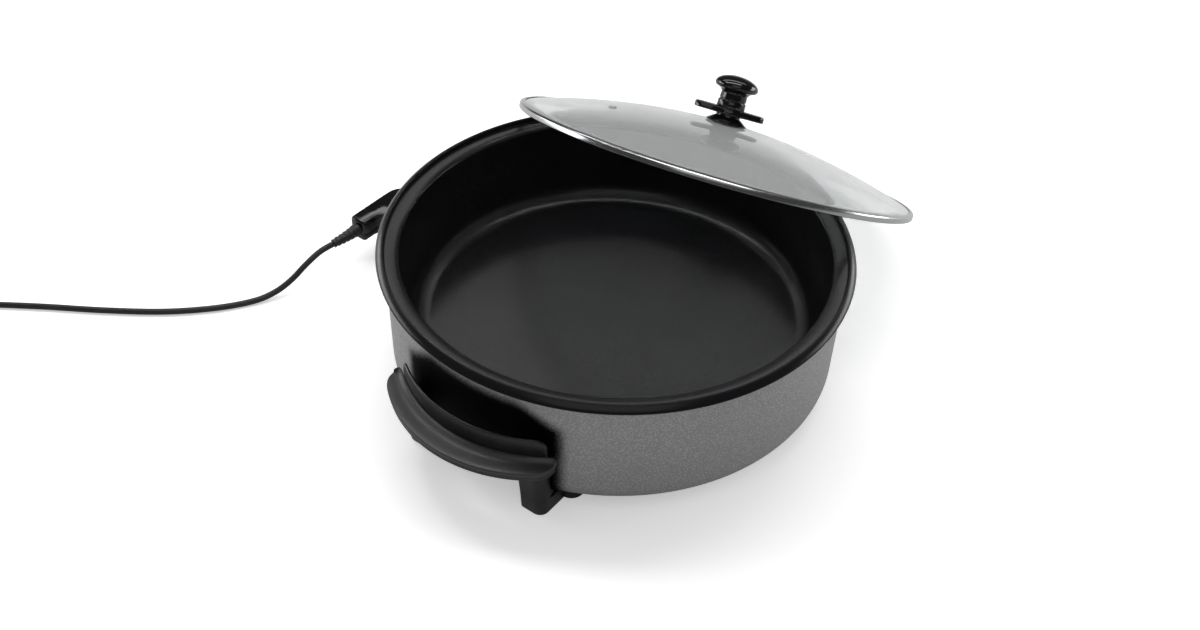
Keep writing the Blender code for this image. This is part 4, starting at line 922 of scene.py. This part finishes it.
class SKILLET_OT_lid(bpy.types.Operator):
    """Domed glass, steel band with its lap, and the vent eyelet"""

    bl_idname = "skillet.lid"
    bl_label = "Lid"

    def execute(self, context):
        sizes = context.scene.skillet_sizes
        leaning = lid_frame()
        radii = [KNOB_HOLE_R] + [GLASS_R * s for s in np.linspace(0.05, 0.985, 22)]
        upper = [(r, dome(r)) for r in radii] + [(GLASS_R, dome(GLASS_R) - 0.0006)]
        lower = [(GLASS_R, dome(GLASS_R) - GLASS + 0.0004)]
        lower += [(r, dome(r) - GLASS) for r in reversed(radii)]
        glass = finished("domed_glass", spun(upper + lower, sizes.lid_steps), "glass", "lid",
                         ("lid_glass",), leaning)
        slope = math.atan(DOME_RISE * DOME_POWER * VENT_R ** (DOME_POWER - 1)
                          / GLASS_R ** DOME_POWER)
        vent = (leaning @ Matrix.Rotation(VENT_TURN, 4, "Z")
                @ Matrix.Translation((VENT_R, 0, dome(VENT_R))) @ Matrix.Rotation(slope, 4, "Y"))
        drill = bmesh.new()
        bmesh.ops.create_cone(drill, cap_ends=True, segments=32, radius1=VENT_HOLE_R,
                              radius2=VENT_HOLE_R, depth=0.02)
        bmesh.ops.transform(drill, matrix=vent, verts=drill.verts)
        cut(glass, drill)
        smoothed(glass, CREASE)

        lap = GLASS_R - 0.0035
        sheet = 0.0008
        outer = LID_R
        inner = LID_R - sheet
        band = [(lap, dome(lap) + GAP), (lap, dome(lap) + GAP + sheet),
                (GLASS_R, dome(GLASS_R) + GAP + sheet), (outer, BAND_TOP), (outer, sheet),
                (inner, 0), (lap, 0), (lap, sheet * 0.6), (inner, dome(GLASS_R) - GLASS - GAP),
                (inner, dome(GLASS_R) + GAP)]
        finished("steel_band", softened(spun(band, sizes.lid_steps), sizes.band_round, 2, 20),
                 "steel", "lid", ("lid_band",), leaning)
        tongue = [(outer + 0.00002, BAND_TOP - 0.0001), (outer + 0.00028, BAND_TOP - 0.0003),
                  (outer + 0.00028, sheet + 0.0003), (outer + 0.00002, sheet + 0.0001)]
        joint = spun(tongue, 8, math.radians(5.0))
        finished("band_lap", softened(joint, 0.00008, 2, 30), "steel", "lid", (),
                 leaning @ Matrix.Rotation(SEAM_TURN, 4, "Z"))

        lip = 0.0007
        sag = GAP + lip * 0.2
        eyelet = [(0.0022, sag + lip * 0.5), (0.0025, sag + lip), (0.0036, sag + lip),
                  (0.0043, sag + lip * 0.4), (0.0043, sag), (0.0028, sag),
                  (0.0028, -GLASS - sag), (0.0043, -GLASS - sag), (0.0039, -GLASS - sag - lip),
                  (0.0022, -GLASS - sag - lip)]
        finished("riveted_eyelet", softened(spun(eyelet, 48), 0.00012, 2, 25), "steel", "lid",
                 ("vent_eyelet",), vent)
        return {"FINISHED"}


class SKILLET_OT_knob(bpy.types.Operator):
    """Knob of skirt disc, winged plate and mushroom cap, with its screw"""

    bl_idname = "skillet.knob"
    bl_label = "Knob"

    def execute(self, context):
        sizes = context.scene.skillet_sizes
        hole = KNOB_HOLE_R
        top = GAP + 0.0088
        place = (lid_frame() @ Matrix.Translation((0, 0, dome(0)))
                 @ Matrix.Rotation(KNOB_TURN, 4, "Z"))
        flare = flowing([(0.0120, top - 0.0022), (0.01455, top - 0.0037),
                         (0.0189, GAP + 0.0021), (0.0205, GAP + 0.0010)], 0.0008)
        skirt = ([(hole, top), (0.0120, top)] + flare
                 + [(0.0202, GAP + 0.0002), (0.0197, GAP), (hole, GAP)])
        finished("knob_foot", softened(spun(skirt, sizes.knob_steps), 0.0003, 2, 40), "gloss",
                 "lid", ("knob_skirt",), place)
        finished("knob_wing_plate", softened(copied("knob_wings"), sizes.fine_round, 2, 24),
                 "gloss", "lid", ("knob_wings",))
        low = top + GAP + 0.0060 + GAP
        neck = low + 0.0155
        widest = neck + 0.0065
        groove = low + 0.0155 * 0.5
        cap = [(0, widest + 0.0100)]
        cap += [(0.0215 * math.sin(a), widest + 0.0100 * math.cos(a))
                for a in np.radians(np.linspace(5, 88, 20))]
        cap += flowing([(0.0215, widest - 0.00065), (0.019875, widest - 0.0029),
                        (0.015275, neck + 0.0014), (0.0130, neck - 0.0013)], 0.0006)
        cap += [(0.0134, groove + 0.0012), (0.0128, groove + 0.0006), (0.0128, groove - 0.0006),
                (0.0140, groove - 0.0012), (0.0140, low), (hole, low), (hole, low + 0.0083),
                (0, low + 0.0083)]
        finished("knob_mushroom", softened(spun(cap, sizes.knob_steps), 0.0003, 2, 30), "gloss",
                 "lid", ("knob_cap",), place)
        under = -GLASS - GAP
        screw = [(0, low + 0.0080), (0.0024, low + 0.0080), (0.0024, under), (0.0050, under),
                 (0.0050, under - 0.0008), (0.0034, under - 0.0008),
                 (0.0031, under - 0.0020), (0.0024, under - 0.0024), (0.0012, under - 0.0024),
                 (0.0008, under - 0.0014), (0, under - 0.0014)]
        finished("knob_bolt", softened(spun(screw, 40), 0.0002, 2, 35), "steel", "lid",
                 ("knob_screw",), place)
        return {"FINISHED"}


class SKILLET_OT_handles(bpy.types.Operator):
    """Grips with their skirts and heat guards"""

    bl_idname = "skillet.handles"
    bl_label = "Handles"

    def execute(self, context):
        sizes = context.scene.skillet_sizes
        low = GRIP_TOP - 0.0038
        grip = [(0, low), (0, GRIP_TOP + 0.0030), (0.08, GRIP_TOP + 0.0030),
                (0.16, GRIP_TOP + 0.0022), (0.24, GRIP_TOP + 0.0011), (0.34, GRIP_TOP + 0.0003),
                (0.45, GRIP_TOP), (0.60, GRIP_TOP), (0.80, GRIP_TOP), (0.93, GRIP_TOP - 0.0001),
                (0.99, GRIP_TOP - 0.0004), (1.0, GRIP_TOP - 0.0009), (1.0, GRIP_TOP - 0.0014),
                (0.975, GRIP_TOP - 0.0015), (0.975, GRIP_TOP - 0.0019),
                (0.998, GRIP_TOP - 0.0020), (0.99, low)]
        skirt = [(0, SKIRT_Z), (0, low - 0.0010), (0.10, low - GAP), (0.93, low - GAP),
                 (0.955, low - 0.0007), (1.0, low - 0.0009), (1.0, low - 0.0034),
                 (0.985, low - 0.0036), (0.985, low - 0.0040), (1.0, low - 0.0042),
                 (0.98, SKIRT_Z + 0.0005), (0.95, SKIRT_Z)]
        for side, turn in (("right", 0), ("left", math.pi)):
            place = ON_TABLE @ Matrix.Rotation(turn, 4, "Z")
            finished(f"grip_plate_{side}", lofted(crescent(grip, 0)), "grip", "pan_unit",
                     (f"grip_{side}",), place, 30)
            finished(f"grip_underside_{side}", lofted(crescent(skirt, 0.0010)), "dark",
                     "pan_unit", (f"grip_skirt_{side}",), place, 30)
            guard = softened(lofted(guard_rings()), sizes.mould_round * 0.6, 2, 50)
            finished(f"guard_plate_{side}", guard, "dark", "pan_unit",
                     (f"heat_guard_{side}",), place, 30)
        return {"FINISHED"}


def guard_face(along):
    """Outer face of the heat guard at a distance along the handle."""
    return GUARD_MID - GUARD_ARC_R + math.sqrt(GUARD_ARC_R ** 2 - along ** 2)


def grip_edge(along, inset):
    """Outer edge of the grip, or of what is set back under it."""
    return (GUARD_MID + GRIP_REACH - GRIP_ARC_R
            + math.sqrt((GRIP_ARC_R - inset) ** 2 - along ** 2))


def crescent(section, inset):
    """Rings of a crescent bar whose section lists (share across, height)."""
    rings = []
    ends = [(math.sin(a), math.cos(a) ** 0.55) for a in np.radians(
        (8, 16, 24, 32, 40, 48, 56, 64, 71, 77, 82, 86, 88.5))]
    reach = GRIP_END - inset
    places = ([(-GRIP_HALF - reach * s, c) for s, c in reversed(ends)]
              + [(t, 1) for t in np.linspace(-GRIP_HALF, GRIP_HALF, 41)]
              + [(GRIP_HALF + reach * s, c) for s, c in ends])
    for along, width in places:
        held = max(-GRIP_HALF, min(GRIP_HALF, along))
        inner = guard_face(held) + GAP
        outer = grip_edge(held, inset)
        slope = -held / math.sqrt(GRIP_ARC_R ** 2 - held ** 2)
        middle = (inner + outer) / 2 + slope * (along - held)
        half = (outer - inner) / 2 * width
        rings.append([(middle + half * (2 * share - 1), along, height)
                      for share, height in section])
    return rings


def guard_rings():
    """Rings of the upright guard, with rounded upper corners."""
    rings = []
    ends = GRIP_HALF - 0.0005 - GUARD_CORNER_R
    corner = [ends + GUARD_CORNER_R * math.sin(a) for a in np.radians(
        (12, 24, 36, 47, 57, 66, 74, 81, 86, 90))]
    for along in ([-t for t in reversed(corner)] + list(np.linspace(-ends, ends, 33)) + corner):
        past = max(0, abs(along) - ends)
        top = GUARD_TOP - GUARD_CORNER_R + math.sqrt(max(0, GUARD_CORNER_R ** 2 - past ** 2))
        out = guard_face(along)
        inner = out - GUARD_THICK
        half = GUARD_THICK / 2
        crown = [(inner + half - half * math.cos(a), along, top - half + half * math.sin(a))
                 for a in np.radians((0, 25, 50, 75, 105, 130, 155, 180))]
        rings.append([(inner, along, SKIRT_Z)] + crown + [(out, along, SKIRT_Z)])
    return rings


class SKILLET_OT_legs(bpy.types.Operator):
    """Legs, each with its foot and the round pad under the shell"""

    bl_idname = "skillet.legs"
    bl_label = "Legs"

    def execute(self, context):
        sizes = context.scene.skillet_sizes
        for side, turn in (("right", 0), ("left", math.pi)):
            for end, flip in (("a", 1), ("b", -1)):
                shape = self.leg(sizes)
                bmesh.ops.scale(shape, vec=(1, flip, 1), verts=shape.verts)
                bmesh.ops.recalc_face_normals(shape, faces=shape.faces)
                finished(f"moulded_leg_{side}_{end}", shape, "dark", "pan_unit",
                         (f"leg_{side}_{end}",), ON_TABLE @ Matrix.Rotation(turn, 4, "Z"), 30)
        return {"FINISHED"}

    def leg(self, sizes):
        """One leg from its outline seen from the side, drawn out to its width."""
        top = SKIRT_Z - GAP
        outline = [(0.1975, 0), (0.1992, 0.0180), (0.2012, 0.0340), (0.2045, 0.0480),
                   (0.2085, top)]
        heights = (top, top * 0.8, CORNER_R + SHELL_Z, SHELL_Z + 0.011, SHELL_Z + 0.005)
        outline += [(self.back(height, LEG_INNER), height) for height in heights]
        outline += [(0.1870, 0.0172), (0.1830, 0.0152), (0.1560, 0.0150),
                    (0.1560, 0.0006), (0.1570, 0)]
        shape = bmesh.new()
        ring = [shape.verts.new((u, LEG_INNER, z)) for u, z in outline]
        face = shape.faces.new(ring)
        drawn = bmesh.ops.extrude_face_region(shape, geom=[face])["geom"]
        moved = [v for v in drawn if isinstance(v, bmesh.types.BMVert)]
        bmesh.ops.translate(shape, vec=(0, LEG_OUTER - LEG_INNER, 0), verts=moved)
        bmesh.ops.recalc_face_normals(shape, faces=shape.faces)
        for vert in moved:
            if vert.co.z > SHELL_Z + 0.004 and vert.co.x < 0.1985:
                vert.co.x = self.back(vert.co.z, LEG_OUTER)
        for along, radius in ((LEG_INNER, 0.0030), (LEG_OUTER, 0.0085)):
            front = [e for e in shape.edges
                     if all(v.co.x > 0.1970 and abs(v.co.y - along) < WELD
                            for v in e.verts) and e.verts[0].co.z != e.verts[1].co.z
                     and abs(e.verts[0].co.x - e.verts[1].co.x) < 0.0060]
            bmesh.ops.bevel(shape, geom=front, offset=radius, offset_type="OFFSET",
                            segments=7, profile=0.5, affect="EDGES", clamp_overlap=True,
                            material=-1)
        softened(shape, sizes.mould_round * 1.3, 2, 50)
        pad = bmesh.ops.create_cone(shape, cap_ends=True, segments=40, radius1=0.0117,
                                    radius2=0.0125, depth=0.0146)
        bmesh.ops.translate(shape, vec=(PAD_U, PAD_ALONG, 0.0078), verts=pad["verts"])
        return shape

    def back(self, height, along):
        """Inner face of the column, clear of the shell's wall and rounded corner."""
        share = min(1, max(0, (height - SHELL_Z) / CORNER_R))
        wall = SHELL_FOOT_R - CORNER_R + CORNER_R * math.sqrt(1 - (1 - share) ** 2)
        wall += (SHELL_R - SHELL_FOOT_R) * max(0, height - SHELL_Z - CORNER_R) / 0.095
        return math.sqrt((wall + 0.0010) ** 2 - along ** 2)


class SKILLET_OT_control(bpy.types.Operator):
    """Heat control with its nose, dial and lens"""

    bl_idname = "skillet.control"
    bl_label = "Heat control"

    def execute(self, context):
        sizes = context.scene.skillet_sizes
        for node, name, slot, body in (
                ("control_upper", "control_lid_half", "gloss", "heat_control"),
                ("control_lower", "control_base_half", "gloss", "heat_control"),
                ("control_nose", "control_plug_nose", "dark", "heat_control"),
                ("control_dial", "temperature_dial", "gloss", "dial")):
            finished(name, softened(copied(node), sizes.fine_round), slot, body, (node,))
        recoat("indicator_lens", "lens")
        recoat("probe_rod", "steel")
        return {"FINISHED"}


class SKILLET_OT_inside(bpy.types.Operator):
    """Finishes of the element, terminals, sleeve and socket"""

    bl_idname = "skillet.inside"
    bl_label = "Inner parts"

    def execute(self, context):
        for name, slot in (("heating_element", "sheath"), ("terminal_a", "steel"),
                           ("terminal_b", "steel"), ("probe_sleeve", "sleeve"),
                           ("socket_block", "dark")):
            recoat(name, slot)
        return {"FINISHED"}


class SKILLET_PT_pieces(bpy.types.Panel):
    """Lists the skillet's pieces and their settings"""

    bl_idname = "SKILLET_PT_pieces"
    bl_label = "Electric Skillet"
    bl_space_type = "VIEW_3D"
    bl_region_type = "UI"
    bl_category = "Skillet"

    def draw(self, context):
        layout = self.layout
        for operator in OPERATORS:
            layout.operator(operator.bl_idname)
        for group in (context.scene.skillet_look, context.scene.skillet_sizes,
                      context.scene.skillet_stage):
            box = layout.box()
            for name in group.__annotations__:
                box.prop(group, name)


OPERATORS = (
    SKILLET_OT_stage, SKILLET_OT_cord, SKILLET_OT_pan, SKILLET_OT_shell, SKILLET_OT_lid,
    SKILLET_OT_knob, SKILLET_OT_handles, SKILLET_OT_legs, SKILLET_OT_control, SKILLET_OT_inside,
)
GROUPS = (
    ("skillet_look", SkilletLook), ("skillet_sizes", SkilletSizes),
    ("skillet_stage", SkilletStage),
)


def register():
    """Registers the classes and their settings on the scene."""
    for name, group in GROUPS:
        bpy.utils.register_class(group)
        setattr(bpy.types.Scene, name, bpy.props.PointerProperty(type=group))
    for operator in OPERATORS:
        bpy.utils.register_class(operator)
    bpy.utils.register_class(SKILLET_PT_pieces)


def unregister():
    """Takes the classes and settings away again."""
    bpy.utils.unregister_class(SKILLET_PT_pieces)
    for operator in reversed(OPERATORS):
        bpy.utils.unregister_class(operator)
    for name, group in reversed(GROUPS):
        delattr(bpy.types.Scene, name)
        bpy.utils.unregister_class(group)


def main():
    """Makes every piece in order."""
    register()
    for operator in OPERATORS:
        group, name = operator.bl_idname.split(".")
        getattr(getattr(bpy.ops, group), name)()


if __name__ == "__main__":
    main()
